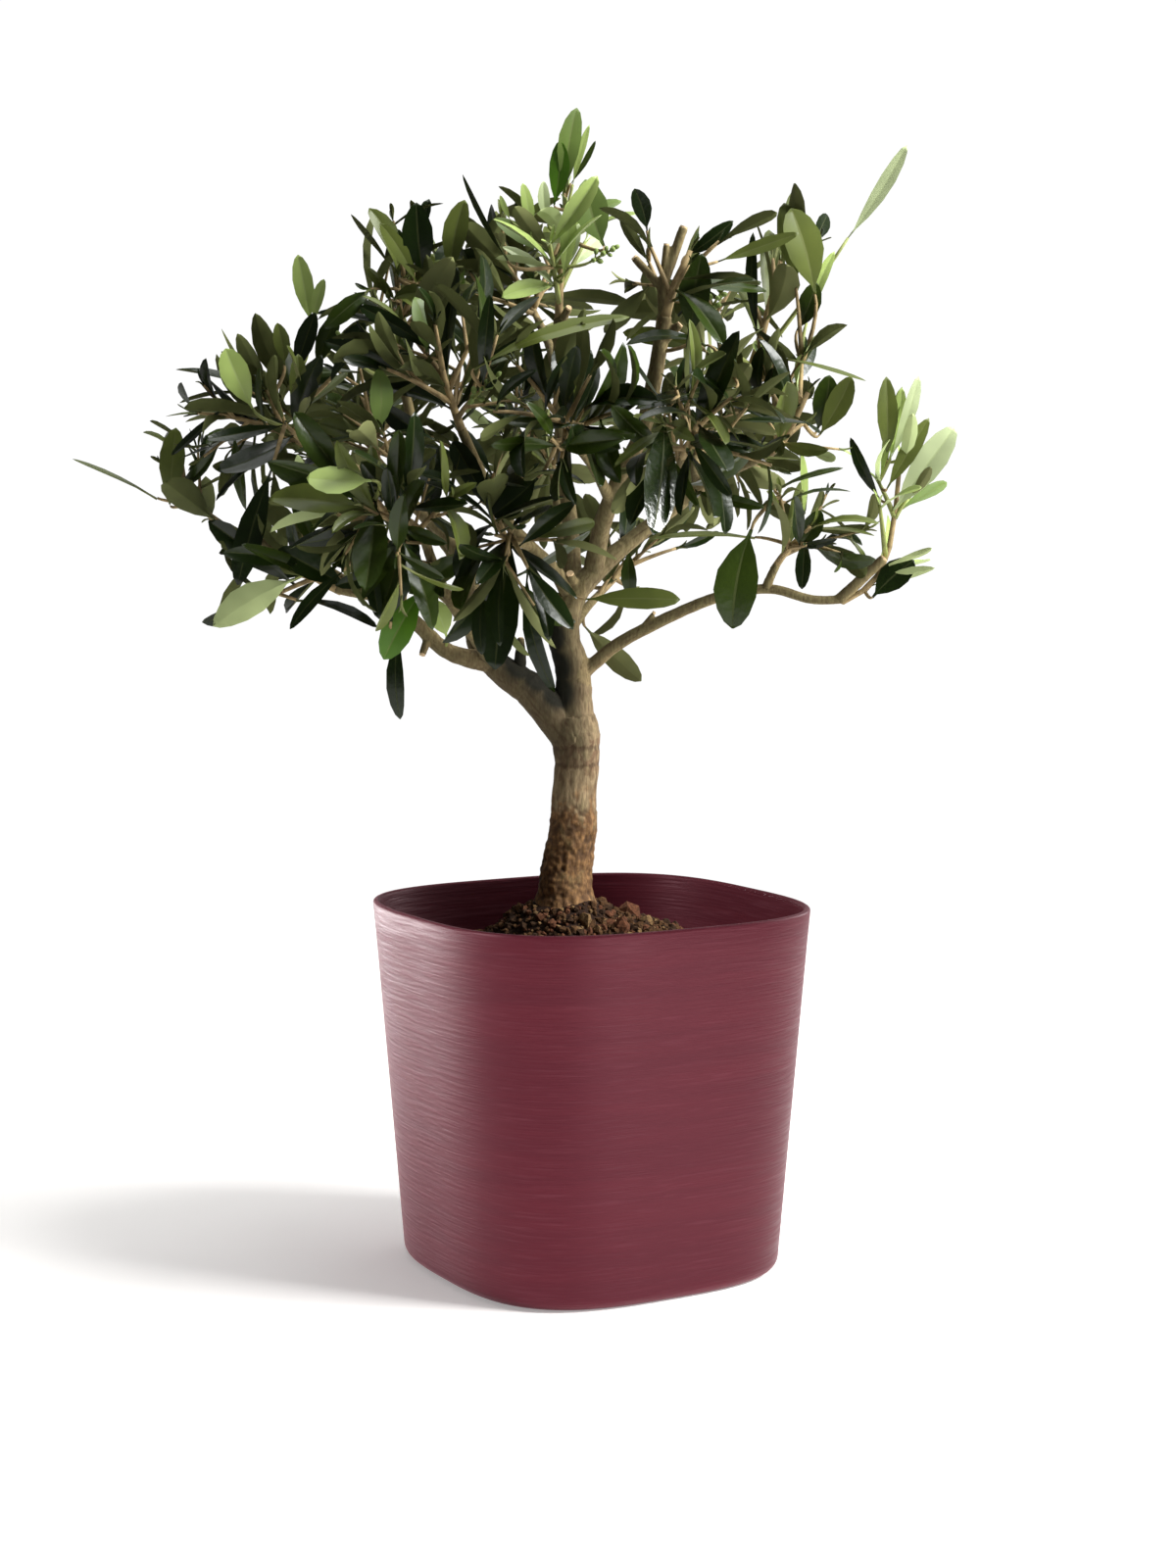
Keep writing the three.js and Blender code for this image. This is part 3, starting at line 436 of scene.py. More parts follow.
def leaving(heading, angle, turn):
    """The direction that leaves a heading at an angle, on the side that a turn about it gives."""
    across, over = sideways(heading)
    return (heading * math.cos(angle) + across * (math.sin(angle) * math.cos(turn))
            + over * (math.sin(angle) * math.sin(turn)))


def turned(vector, axis, angle):
    """A vector turned about an axis that it stands square to."""
    return vector * math.cos(angle) + np.cross(axis, vector) * math.sin(angle)


def twig_part(twig, share):
    return min(int(share * (len(twig) - 1)), len(twig) - 2)


def point_at(twig, share):
    part = twig_part(twig, share)
    return twig[part] + (twig[part + 1] - twig[part]) * (share * (len(twig) - 1) - part)


def heading_at(twig, share):
    part = twig_part(twig, share)
    return unit(twig[part + 1] - twig[part])


def twig_length(twig):
    return float(np.linalg.norm(np.diff(twig, axis=0), axis=1).sum())


LONE = -1  # the spray that all lone leaves count as
END_LEAF = "end"  # marks the leaf at the end of a mass, which is one of the lone leaves


class Leaf(NamedTuple):
    """A leaf's root, the direction of its blade and of its upper side, its size and its spray."""

    root: np.ndarray
    axis: np.ndarray
    face: np.ndarray
    length: float
    width: float
    spray: int = 0
    tint: str = ""

    def points(self, along, wide, above):
        """Points at shares of the blade's length and half width, and a height above it."""
        across = np.cross(self.axis, self.face)
        return (self.root + np.multiply.outer(along, self.axis) * self.length
                + np.multiply.outer(wide, across) * self.width / 2
                + np.multiply.outer(above, self.face))


SAMPLE_ALONG = np.repeat((0.2, 0.35, 0.5, 0.65, 0.8, 0.98), 3)
SAMPLE_WIDE = np.tile((-0.7, 0, 0.7), 6) * np.sin(math.pi * SAMPLE_ALONG)


def leaf_samples(leaf):
    """Points spread over the blade, which tell it from limbs, twigs and other leaves."""
    return leaf.points(SAMPLE_ALONG, SAMPLE_WIDE, np.zeros(len(SAMPLE_ALONG)))


def leaf_outer(leaf):
    """The blade's outermost points: its two margins where it is widest, and its tip."""
    margin = LEAF_KEEL * leaf.width
    return leaf.points((LEAF_WIDEST, LEAF_WIDEST, 1), (-1, 1, 0), (margin, margin, 0))


class Crown:
    """All the shoots and leaves that the rule grows, and what they keep clear of."""

    def __init__(self):
        self.hearts = np.array([mass.heart for mass in MASSES], float)
        self.reaches = np.array([mass.reach for mass in MASSES], float)
        self.weights = self.reaches.mean(axis=1) ** 2
        self.stems = [self.stem(mass) for mass in MASSES]
        self.beads = np.array([limb_point(name, i / LIMB_BEADS)
                               for name in LIMBS for i in range(LIMB_BEADS + 1)])
        self.bead_radii = np.array([limb_radius(name, i / LIMB_BEADS)
                                    for name in LIMBS for i in range(LIMB_BEADS + 1)])
        self.stem_beads = np.array([[point_at(stem, i / STEM_BEADS) for i in range(STEM_BEADS + 1)]
                                    for stem in self.stems])
        self.twigs = []
        self.twig_mass = []
        self.leaves = []
        self.sprays = 0
        for index, mass in enumerate(MASSES):
            self.grow(mass, index)

    @staticmethod
    def stem(mass):
        """The stem of a mass starts at its bough's tip and bends through the heart."""
        along = limb_heading(mass.limb, 1)
        heart = np.array(mass.heart, float)
        start = limb_point(mass.limb, 1) + along * SEAT_GAP
        knee = start + along * STEM_KNEE * np.linalg.norm(heart - start)
        end = heart + unit(heart - knee) * STEM_PAST * mass.reach[2]
        return bent(start, knee, end, np.linspace(0, 1, STEM_PARTS + 1))

    def in_reach(self, points, index, share):
        """Whether points are in a share of a mass's reach."""
        offset = (points - self.hearts[index]) / self.reaches[index]
        return bool(((offset ** 2).sum(axis=1) <= share * share).all())

    def in_own_space(self, points, index, share):
        """Whether points are in a mass's reach and on its own side of the borders with the others."""
        if not self.in_reach(points, index, share):
            return False
        powers = ((points[:, None] - self.hearts) ** 2).sum(axis=2) - self.weights
        apart = np.linalg.norm(self.hearts - self.hearts[index], axis=1)
        apart[index] = 1
        room = (powers - powers[:, index:index + 1]) / (2 * apart)
        room[:, index] = np.inf
        return bool((room > CELL_GAP).all())

    def clear_of_wood(self, points, index, clearance):
        """Whether points are clear of all limbs and of the other masses' stems."""
        limbs = np.linalg.norm(points[:, None] - self.beads, axis=2)
        if (limbs <= self.bead_radii + clearance).any():
            return False
        others = np.delete(self.stem_beads, index, axis=0).reshape(-1, 3)
        return bool((np.linalg.norm(points[:, None] - others, axis=2) > STEM_RADIUS + clearance).all())

    @staticmethod
    def leaf_from(twig, share, turn, attempt, mass, draw):
        """One leaf on a twig. Each further attempt is shorter and turns further to find room."""
        heading = heading_at(twig, share)
        butt, fall, stray = LEAF_SPREAD
        wilder = 0.5 + 0.5 * attempt
        angle = math.radians(butt - fall * share + stray * wilder * (draw() - 0.5))
        axis = leaving(heading, angle, turn + LEAF_TURN_STRAY * wilder * (draw() - 0.5))
        axis[2] -= LEAF_DROOP * draw()
        axis = unit(axis)
        face = turned(unit(heading - axis * heading.dot(axis)), axis, LEAF_ROLL * (draw() - 0.5))
        length = LEAF_LENGTH * mass.leaf * between(LEAF_LENGTHS, draw()) * (1 - LEAF_SHRINK * attempt)
        width = length * LEAF_SLIMNESS * between(LEAF_WIDTHS, draw())
        return Leaf(point_at(twig, share), axis, face, length, width)

    def leaf_with_room(self, twig, share, turn, mass, index, kept, draw):
        """The first attempt at a leaf that is clear of the wood and of the points kept, if there is one."""
        for attempt in range(LEAF_ATTEMPTS):
            leaf = self.leaf_from(twig, share, turn, attempt, mass, draw)
            if not self.in_own_space(leaf_outer(leaf), index, 1):
                continue
            samples = leaf_samples(leaf)
            if (self.clear_of_wood(samples, index, LIMB_CLEARANCE)
                    and (np.linalg.norm(samples[:, None] - kept, axis=2) > LEAF_CLEARANCE).all()):
                return leaf
        return None

    def twig_from(self, stem, share, turn, mass, index, draw):
        """A twig from a place on the stem, shortened until it stays in the mass's space."""
        butt, fall, stray = TWIG_SPREAD
        angle = math.radians(butt - fall * share + stray * (draw() - 0.5))
        away = unit(leaving(heading_at(stem, share), angle, turn) + UP * mass.lift)
        start = point_at(stem, share)
        length = between(TWIG_LENGTHS, draw()) * sum(mass.reach) / 3
        for _ in range(TWIG_ATTEMPTS):
            twig = np.array((start, start + away * length))
            points = np.array([point_at(twig, place) for place in TWIG_SAMPLES])
            if (self.in_own_space(points, index, TWIG_SPACE)
                    and self.clear_of_wood(points, index, TWIG_RADIUS + TWIG_CLEARANCE)):
                return twig
            length *= TWIG_SHRINK
        return None

    @staticmethod
    def tip_shoot(stem, mass):
        """The shoot that carries a mass's lone leaf, and that leaf."""
        tip = np.array(mass.tip, float)
        start = point_at(stem, TIP_FROM)
        axis = unit(tip - start)
        length = min(LEAF_LENGTH, TIP_LEAF * np.linalg.norm(tip - start))
        root = tip - axis * length
        leaf = Leaf(root, axis, sideways(axis)[0], length, length * LEAF_SLIMNESS, tint=END_LEAF)
        return np.array((start, root + axis * 2 * LEAF_SINK)), leaf

    def grow(self, mass, index):
        """Grows a mass: twigs spiral up the stem, and pairs of leaves stand crosswise along each."""
        draw = chances(mass.seed)
        stem = self.stems[index]
        shoots = [(stem, STEM_BARE)]
        leaves = []
        if mass.tip:
            twig, leaf = self.tip_shoot(stem, mass)
            shoots.append((twig, TIP_BARE))
            leaves.append(leaf._replace(spray=self.sprays + 1))
        first_turn = 2 * math.pi * draw()
        for k in range(mass.twigs):
            share = between(STEM_TWIGS, (k + 0.5 * draw()) / mass.twigs)
            twig = self.twig_from(stem, share, first_turn + k * GOLDEN_ANGLE, mass, index, draw)
            if twig is not None:
                shoots.append((twig, TWIG_BARE))
        beads = [np.array([point_at(twig, i / TWIG_BEADS) for i in range(TWIG_BEADS + 1)])
                 for twig, _ in shoots]
        taken = [leaf_samples(leaf) for leaf in leaves]
        for shoot, (twig, bare) in enumerate(shoots):
            others = beads[:shoot] + beads[shoot + 1:]
            pairs = max(2, int(twig_length(twig) * (LAST_LEAF - bare) / LEAF_SPACING + 0.5) + 1)
            start_turn = 2 * math.pi * draw()
            for place in range(2 * pairs):
                share = between((bare, LAST_LEAF), place // 2 / (pairs - 1))
                kept = np.concatenate(taken + others)
                leaf = self.leaf_with_room(twig, share, crossed(start_turn, place), mass, index, kept, draw)
                if leaf is not None:
                    leaves.append(leaf._replace(spray=self.sprays + shoot))
                    taken.append(leaf_samples(leaf))
        self.sprays += len(shoots)
        self.twigs += [twig for twig, _ in shoots]
        self.twig_mass += [index] * len(shoots)
        self.leaves += leaves


class Twig(NamedTuple):
    """A twig as a run of points, with its radius at both ends and whether its skin is green."""

    path: np.ndarray
    butt: float
    tip: float
    green: bool


# Sizes of the finer growth; radii are at the butt and at the tip
TWIG_RINGS, TWIG_SIDES = 6, 6
TWIG_STEPS = np.linspace(0, 1, TWIG_RINGS)
TWIG_BOW = 0.035  # how far a twig arches up, over its length
TWIG_RADII = (1.5, 0.8)
TWIG_PAST = 0.03  # share of a twig that is kept past its last leaf
STEM_SUNK = 4  # how far a stem's foot reaches into its bough
STEM_BUTT = 0.96  # radius of a stem's foot over that of its bough
STEM_TIP = 1.2
LEAFLET_LENGTHS = (6, 11)
LEAFLET_SPREAD = (0.3, 0.55)
LEAFLET_SLIMNESS = 0.27
SPUR_RADII = (1.4, 0.7)  # a spur is the twig of a leaf that stands out; its butt at most
SPUR_LEAST = 0.8  # butt of the shortest spur
SPUR_GROWTH = 0.02  # how much its butt grows with its length
SPUR_ARRIVAL = 0.3  # share of its length from which it takes its leaf's heading
TURN_COST = 1.2  # how much further off wood counts that isn't straight behind a leaf
BUD_PAIRS = 5
BUD_STALK = 3.2
BUD_SHORTENING = 1.3  # the lowest stalks over the usual one; they get shorter towards the tip
BUD_STALKS = (0.7, 1.3)  # range by chance
BUD_SIZE = 1.15
BUD_SIZES = (0.8, 1.2)  # range by chance
BUD_SPREAD = 0.9
BUD_STRAY = 0.6
PANICLE_RADII = (0.7, 0.5)
BUD_STALK_RADII = (0.45, 0.4)
FINE_LENGTHS = (15, 30)
FINE_SPREAD = (42, 64)  # degrees off the twig
FINE_LIFT = 0.5  # share of the mass's lift
FINE_RADII = (1, 0.6)
FINE_SPACING = 9
FINE_LEAF = 0.82  # size of its leaves over the twigs' leaves
FINE_LEAVES = (0.35, 0.95)  # shares of a shoot where its first and last pair stand
FINE_ATTEMPTS = 4
FINE_END = 1.1  # share of the mass's reach that a shoot's end keeps to
FINE_REACH = 0.96  # and its leaves
FINE_CLEARANCE = 2.6
FINE_WOOD_CLEARANCE = 2.5
NEIGHBOURS = 40  # leaves further off than this can't touch
BLADE_SHOWS = (0.45, 0.8, 1)  # shares of a blade that would show in an opening
TINT_SEED, LEAFLET_SEED, BUD_SEED = 3, 901, 77
FINE_SEEDS, LIMB_SEEDS = (5, 13), (301, 17)  # the first one, and the step to the next


def in_opening(leaf):
    """Whether the blade's middle or tip would show in one of the crown's openings."""
    points = leaf.root + np.outer(BLADE_SHOWS, leaf.axis) * leaf.length
    seen = EYE + (points - EYE) * (-EYE[1] / (points[:, 1:2] - EYE[1]))
    off = (seen[:, None, ::2] - OPENINGS[:, :2]) / OPENINGS[:, 2:4]
    return bool((((off ** 2).sum(axis=2) < 1) & (points[:, 1:2] < OPENINGS[:, 4])).any())


class Foliage:
    """The crown carried on to finer twigs, with a colour for every spray."""

    def __init__(self):
        self.base = Crown()
        self.twigs = []
        self.leaves = []
        self.buds = []
        self.grown = {}  # how much of each of the crown's shoots is kept
        self.sprays = self.base.sprays
        self.taken = np.concatenate([leaf_samples(leaf) for leaf in self.base.leaves])
        self.add_base()
        self.wood = np.concatenate([self.base.beads] + [twig.path[1:] for twig in self.twigs])
        self.add_lone()
        self.add_buds()
        self.add_fine()

    @staticmethod
    def tint(palette, spray):
        """The colour of a spray, drawn from its palette."""
        chance = chances(spray + TINT_SEED)()
        for tint, share in PALETTES[palette]:
            chance -= share
            if chance < 0:
                return tint
        return PALETTES[palette][0][0]

    @staticmethod
    def bow(twig):
        """How a straight twig arches: the way its middle is lifted."""
        heading = heading_at(twig, 0.5)
        return (UP - heading * heading[2]) * TWIG_BOW * twig_length(twig)

    def add_base(self):
        """The crown's own stems, twigs and leaves. A twig ends at its last leaf."""
        for spray, (twig, index) in enumerate(zip(self.base.twigs, self.base.twig_mass)):
            mass = MASSES[index]
            tint = self.tint(mass.palette, spray)
            leaves = [leaf for leaf in self.base.leaves
                      if leaf.spray == spray and leaf.tint != END_LEAF and not in_opening(leaf)]
            if len(twig) > 2:  # a stem, which is bent already
                self.grown[spray] = 1
                path = np.array([point_at(twig, share) for share in TWIG_STEPS])
                path[0] -= heading_at(twig, 0) * STEM_SUNK
                self.twigs.append(Twig(path, limb_radius(mass.limb, 1) * STEM_BUTT, STEM_TIP, False))
            elif leaves:
                rise = self.bow(twig)
                shares = [np.linalg.norm(leaf.root - twig[0]) / twig_length(twig) for leaf in leaves]
                self.grown[spray] = min(1, max(shares) + TWIG_PAST)
                steps = TWIG_STEPS * self.grown[spray]
                path = twig[0] + np.outer(steps, twig[1] - twig[0]) + np.outer(hump(steps), rise)
                self.twigs.append(Twig(path, *TWIG_RADII, mass.palette == "young"))
                leaves = [leaf._replace(root=leaf.root + rise * hump(share))
                          for leaf, share in zip(leaves, shares)]
            else:
                self.grown[spray] = 0
                continue
            self.leaves += [leaf._replace(tint=tint) for leaf in leaves]
            self.add_leaflets(path, spray, tint)

    def add_leaflets(self, path, spray, tint):
        """Two small leaves that open at the end of a twig."""
        draw = chances(spray + LEAFLET_SEED)
        heading = unit(path[-1] - path[-2])
        turn = 2 * math.pi * draw()
        for side in (0, math.pi):
            axis = leaving(heading, between(LEAFLET_SPREAD, draw()), turn + side)
            length = between(LEAFLET_LENGTHS, draw())
            face = unit(heading - axis * heading.dot(axis))
            self.leaves.append(Leaf(path[-1], axis, face, length, length * LEAFLET_SLIMNESS, spray, tint))

    def add_twig_to(self, place, heading, green=False, start=None):
        """A twig that arrives at a place along a heading, from its start or else the nearest wood."""
        if start is None:
            away = place - self.wood
            apart = np.linalg.norm(away, axis=1)
            straight = (away @ heading) / np.maximum(apart, 0.1)
            start = self.wood[np.argmin(apart * (1 + TURN_COST * (1 - straight)))]
        length = np.linalg.norm(place - start)
        knee = place - heading * SPUR_ARRIVAL * length
        butt, tip = SPUR_RADII
        butt = min(butt, SPUR_LEAST + SPUR_GROWTH * length)
        self.twigs.append(Twig(bent(start, knee, place, TWIG_STEPS), butt, tip, green))

    def add_lone(self):
        """The leaves that stand out, each on a twig of its own."""
        for lone in LONE_LEAVES:
            root, tip = np.array(lone.root, float), np.array(lone.tip, float)
            axis = unit(tip - root)
            facing = np.array(lone.facing, float)
            face = unit(facing - axis * facing.dot(axis))
            length = float(np.linalg.norm(tip - root))
            leaf = Leaf(root, axis, face, length, lone.width, LONE, lone.tint)
            self.leaves.append(leaf)
            self.taken = np.concatenate([self.taken, leaf_samples(leaf)])
            self.add_twig_to(root, axis, lone.tint in NEW_TINTS, lone.stem)

    def add_buds(self):
        """Panicles: crossed pairs of buds up a green stalk, and one at its tip."""
        for number, (root, tip) in enumerate(PANICLES):
            draw = chances(number + BUD_SEED)
            root, tip = np.array(root, float), np.array(tip, float)
            heading = unit(tip - root)
            self.add_twig_to(root, heading, True)
            stalk = np.array((root, tip))
            self.twigs.append(Twig(root + np.outer(TWIG_STEPS, tip - root), *PANICLE_RADII, True))
            for place in range(2 * BUD_PAIRS):
                share = (place // 2) / BUD_PAIRS
                axis = leaving(heading, BUD_SPREAD, crossed(0, place) + BUD_STRAY * draw())
                reach = BUD_STALK * (BUD_SHORTENING - share) * between(BUD_STALKS, draw())
                start = point_at(stalk, share)
                path = start + np.outer(TWIG_STEPS, axis * reach)
                self.twigs.append(Twig(path, *BUD_STALK_RADII, True))
                self.buds.append((start + axis * reach, axis, BUD_SIZE * between(BUD_SIZES, draw())))
            self.buds.append((tip, heading, BUD_SIZE))

    def add_fine(self):
        """Side shoots from the axils of the twigs' leaves, and short shoots on the limbs."""
        for spray, (twig, index) in enumerate(zip(self.base.twigs, self.base.twig_mass)):
            draw = chances(FINE_SEEDS[0] + spray * FINE_SEEDS[1])
            for share in MASSES[index].fine:
                if share > self.grown[spray]:
                    continue
                start = point_at(twig, share)
                if len(twig) == 2:
                    start = start + self.bow(twig) * hump(share)
                self.add_shoot(start, heading_at(twig, share), index, draw)
        for number, (limb, shares, mass) in enumerate(LIMB_SHOOTS):
            draw = chances(LIMB_SEEDS[0] + number * LIMB_SEEDS[1])
            for share in shares:
                self.add_shoot(limb_point(limb, share), limb_heading(limb, share), MASS_NUMBER[mass],
                               draw, limb_radius(limb, share))

    def add_shoot(self, start, heading, index, draw, inside=0.0):
        """One short shoot with pairs of smaller leaves, if it finds room for two or more of them. It is
        longer by what is inside the limb that it grows on."""
        mass = MASSES[index]
        turn = 2 * math.pi * draw()
        angle = math.radians(between(FINE_SPREAD, draw()))
        length = between(FINE_LENGTHS, draw()) + inside
        away = unit(leaving(heading, angle, turn) + UP * FINE_LIFT * mass.lift)
        fine = np.array((start, start + away * length))
        if not self.base.in_reach(fine[1:], index, FINE_END):
            return
        self.sprays += 1
        tint = self.tint(mass.palette, self.sprays)
        pairs = max(2, int(length * (1 - FINE_LEAVES[0]) / FINE_SPACING + 0.5) + 1)
        grown = []
        start_turn = 2 * math.pi * draw()
        for place in range(2 * pairs):
            share = between(FINE_LEAVES, place // 2 / (pairs - 1))
            for attempt in range(FINE_ATTEMPTS):
                leaf = Crown.leaf_from(fine, share, crossed(start_turn, place), attempt, mass, draw)
                leaf = leaf._replace(length=leaf.length * FINE_LEAF, width=leaf.width * FINE_LEAF,
                                     spray=self.sprays, tint=tint)
                samples = leaf_samples(leaf)
                blade = samples[3:]  # without the points next to its own twig
                if (self.base.in_reach(leaf_outer(leaf), index, FINE_REACH) and not in_opening(leaf)
                        and self.base.clear_of_wood(blade, index, FINE_WOOD_CLEARANCE)
                        and self.free(samples)):
                    grown.append(leaf)
                    self.taken = np.concatenate([self.taken, samples])
                    break
        if len(grown) < 2:
            return
        self.leaves += grown
        path = fine[0] + np.outer(TWIG_STEPS, fine[1] - fine[0])
        self.twigs.append(Twig(path, *FINE_RADII, mass.palette == "young"))
        self.add_leaflets(path, self.sprays, tint)

    def free(self, samples):
        """Whether a blade's points are clear of all other leaves."""
        near = self.taken[(np.abs(self.taken - samples.mean(axis=0)) < NEIGHBOURS).all(axis=1)]
        return bool((np.linalg.norm(samples[:, None] - near, axis=2) > FINE_CLEARANCE).all())


@functools.cache
def foliage():
    return Foliage()


# Shapes

def to_pot(points):
    """Points of the tree's frame, in millimetres, as points of the pot's frame, in metres."""
    return np.asarray(points) @ TREE_TO_POT.T * MM


def tube_faces(rings, sides):
    """Faces of a closed tube as corner numbers: the walls ring by ring, and then the two ends."""
    walls = [(r * sides + c, r * sides + (c + 1) % sides, (r + 1) * sides + (c + 1) % sides,
              (r + 1) * sides + c) for r in range(rings - 1) for c in range(sides)]
    last = (rings - 1) * sides
    return walls + [tuple(range(sides - 1, -1, -1)), tuple(range(last, last + sides))]


def joined(shape, count, corners):
    """Faces of many copies of one shape, whose corners follow each other copy by copy."""
    return [tuple(corner + copy * corners for corner in face)
            for copy in range(count) for face in shape]


def standing(place, heading):
    """The transform that stands a shape on a place with its Z axis along a heading."""
    turn = Vector(heading).to_track_quat("Z", "Y").to_matrix().to_4x4()
    return Matrix.Translation(place) @ turn


def add_piece(name, mesh, materials, nodes):
    """Adds a mesh as a piece of the object that stands for CAD nodes."""
    for made in materials:
        mesh.materials.append(made)
    piece = bpy.data.objects.new(name, mesh)
    bpy.context.scene.collection.objects.link(piece)
    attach(piece, "root")
    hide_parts(*nodes)


def mesh_of(name, points, faces, smooth=True):
    """A mesh of many copies of one shape, from their points and the corner numbers of their faces."""
    mesh = bpy.data.meshes.new(name)
    mesh.from_pydata(np.asarray(points).reshape(-1, 3), [], faces)
    mesh.polygons.foreach_set("use_smooth", [smooth] * len(mesh.polygons))
    mesh.update()
    return mesh


def mesh_from(name, bm, smooth=True):
    """The mesh of a bmesh, which is freed."""
    mesh = bpy.data.meshes.new(name)
    bm.to_mesh(mesh)
    bm.free()
    mesh.polygons.foreach_set("use_smooth", [smooth] * len(mesh.polygons))
    return mesh


def evaluated_mesh(name, data, modifiers=()):
    """The mesh that a curve or mesh becomes under modifiers, each given as its type and settings."""
    holder = bpy.data.objects.new(name, data)
    bpy.context.scene.collection.objects.link(holder)
    for kind, settings in modifiers:
        modifier = holder.modifiers.new(kind.title(), kind)
        for key, value in settings.items():
            setattr(modifier, key, value)
    shaped = holder.evaluated_get(bpy.context.evaluated_depsgraph_get())
    mesh = bpy.data.meshes.new_from_object(shaped)
    bpy.data.objects.remove(holder)
    mesh.name = name
    return mesh


# Materials

def linear(colour):
    """Scene-linear RGBA of an sRGB hex colour."""
    channels = [int(colour[i:i + 2], 16) / 255 for i in (1, 3, 5)]
    return [c / 12.92 if c <= 0.04045 else ((c + 0.055) / 1.055) ** 2.4 for c in channels] + [1.0]


def dimmed(colour, factor):
    """A linear colour made darker, or lighter by a factor above 1."""
    return [c * factor for c in colour[:3]] + [1]


def add_node(tree, kind, inputs=None, **settings):
    """Adds a node, sets its settings, and sets each named input or links it to a socket."""
    made = tree.nodes.new(kind)
    for key, value in settings.items():
        setattr(made, key, value)
    for key, value in (inputs or {}).items():
        if isinstance(value, bpy.types.NodeSocket):
            tree.links.new(value, made.inputs[key])
        else:
            made.inputs[key].default_value = value
    return made


def new_material(name):
    """An empty material, as its node tree and the node that its surface goes to."""
    made = bpy.data.materials.new(name)
    made.use_nodes = True
    made.node_tree.nodes.clear()
    return made, made.node_tree, made.node_tree.nodes.new("ShaderNodeOutputMaterial")


def mixed(tree, factor, first, second):
    """Colour socket of two colours mixed by a factor."""
    return add_node(tree, "ShaderNodeMix", {0: factor, 6: first, 7: second}, data_type="RGBA").outputs[2]


def spread(tree, value, low, high, bottom=0.0, top=1.0):
    """Value socket that runs from bottom to top while a value runs from low to high."""
    return add_node(tree, "ShaderNodeMapRange", {0: value, 1: low, 2: high, 3: bottom, 4: top},
                    interpolation_type="SMOOTHSTEP").outputs[0]


GRAIN_ROUGHNESS = 0.55


def grain(tree, size, detail, stretch=(1, 1, 1)):
    """Noise on the piece's own coordinates, of a size in millimetres, drawn out along the axes."""
    place = add_node(tree, "ShaderNodeTexCoord").outputs["Object"]
    place = add_node(tree, "ShaderNodeMapping", {"Vector": place, "Scale": [1 / s for s in stretch]})
    return add_node(tree, "ShaderNodeTexNoise",
                    {"Vector": place.outputs[0], "Scale": 1 / (size * MM), "Detail": detail,
                     "Roughness": GRAIN_ROUGHNESS}).outputs["Fac"]


def raised(tree, height, depth, strength=1.0):
    """Normal socket of a surface that a height between 0 and 1 raises by a depth in millimetres."""
    return add_node(tree, "ShaderNodeBump",
                    {"Height": height, "Distance": depth * MM, "Strength": strength}).outputs[0]


def surface(tree, output, **inputs):
    """Adds the shader of a material. The spaces of its inputs' names are underscores here."""
    names = {key.replace("_", " "): value for key, value in inputs.items()}
    shader = add_node(tree, "ShaderNodeBsdfPrincipled", names)
    tree.links.new(shader.outputs[0], output.inputs["Surface"])


def pot_plastic(settings):
    """Satin plum plastic, brushed level: fine short lines, pale with painted sheen, that show where light
    grazes them.
    """
    made, tree, output = new_material("brushed plum plastic")
    lines = grain(tree, 1.3, 2.5, (20, 20, 1))  # brush lines are finer; drawn this coarse to show
    streaks = grain(tree, 9, 3.0, (14, 14, 1))
    colour = mixed(tree, spread(tree, streaks, 0.35, 0.7), settings.dark[:], settings.colour[:])
    # Painted sheen: the brush lines are made paler all round, not only where the light grazes them
    colour = mixed(tree, spread(tree, lines, 0.5, 0.8, 0, 0.12), colour, settings.lines[:])
    surface(tree, output, Base_Color=colour, Roughness=spread(tree, lines, 0.3, 0.7, 0.42, 0.56),
            Normal=raised(tree, lines, 0.5, 0.6), Specular_IOR_Level=0.2,
            Specular_Tint=settings.sheen[:], Sheen_Weight=0.12, Sheen_Roughness=0.4,
            Sheen_Tint=settings.sheen[:])
    return made


def soil_crumb(name, colour):
    """Dry crumbly potting soil: dull, speckled, never shiny."""
    made, tree, output = new_material(name)
    speckle = grain(tree, 1.2, 4.0)  # grit is finer; drawn this coarse to show
    shade = mixed(tree, spread(tree, speckle, 0.35, 0.65), dimmed(colour, 0.45), colour)
    surface(tree, output, Base_Color=shade, Roughness=0.95, Normal=raised(tree, speckle, 0.4),
            Specular_IOR_Level=0.2)
    return made


SHADY_SIDE = (-0.8, -0.6, 0)  # the side away from the light, where painted shade darkens the bark, in the tree's frame

# Heights in metres between which one colour of the trunk passes into the next.
BASE_TO_TRUNK = (0.222, 0.238)
TRUNK_TO_BAND = (0.2465, 0.2525)
BAND_TO_TRUNK = (0.257, 0.259)
SIDE_SHADE_BEGINS = (0.23, 0.262)
MOSS_BEGINS = (0.285, 0.32)
YOUNG_TO_OLD = (2.5, 6.5)  # radii in millimetres between which a limb's bark grows old


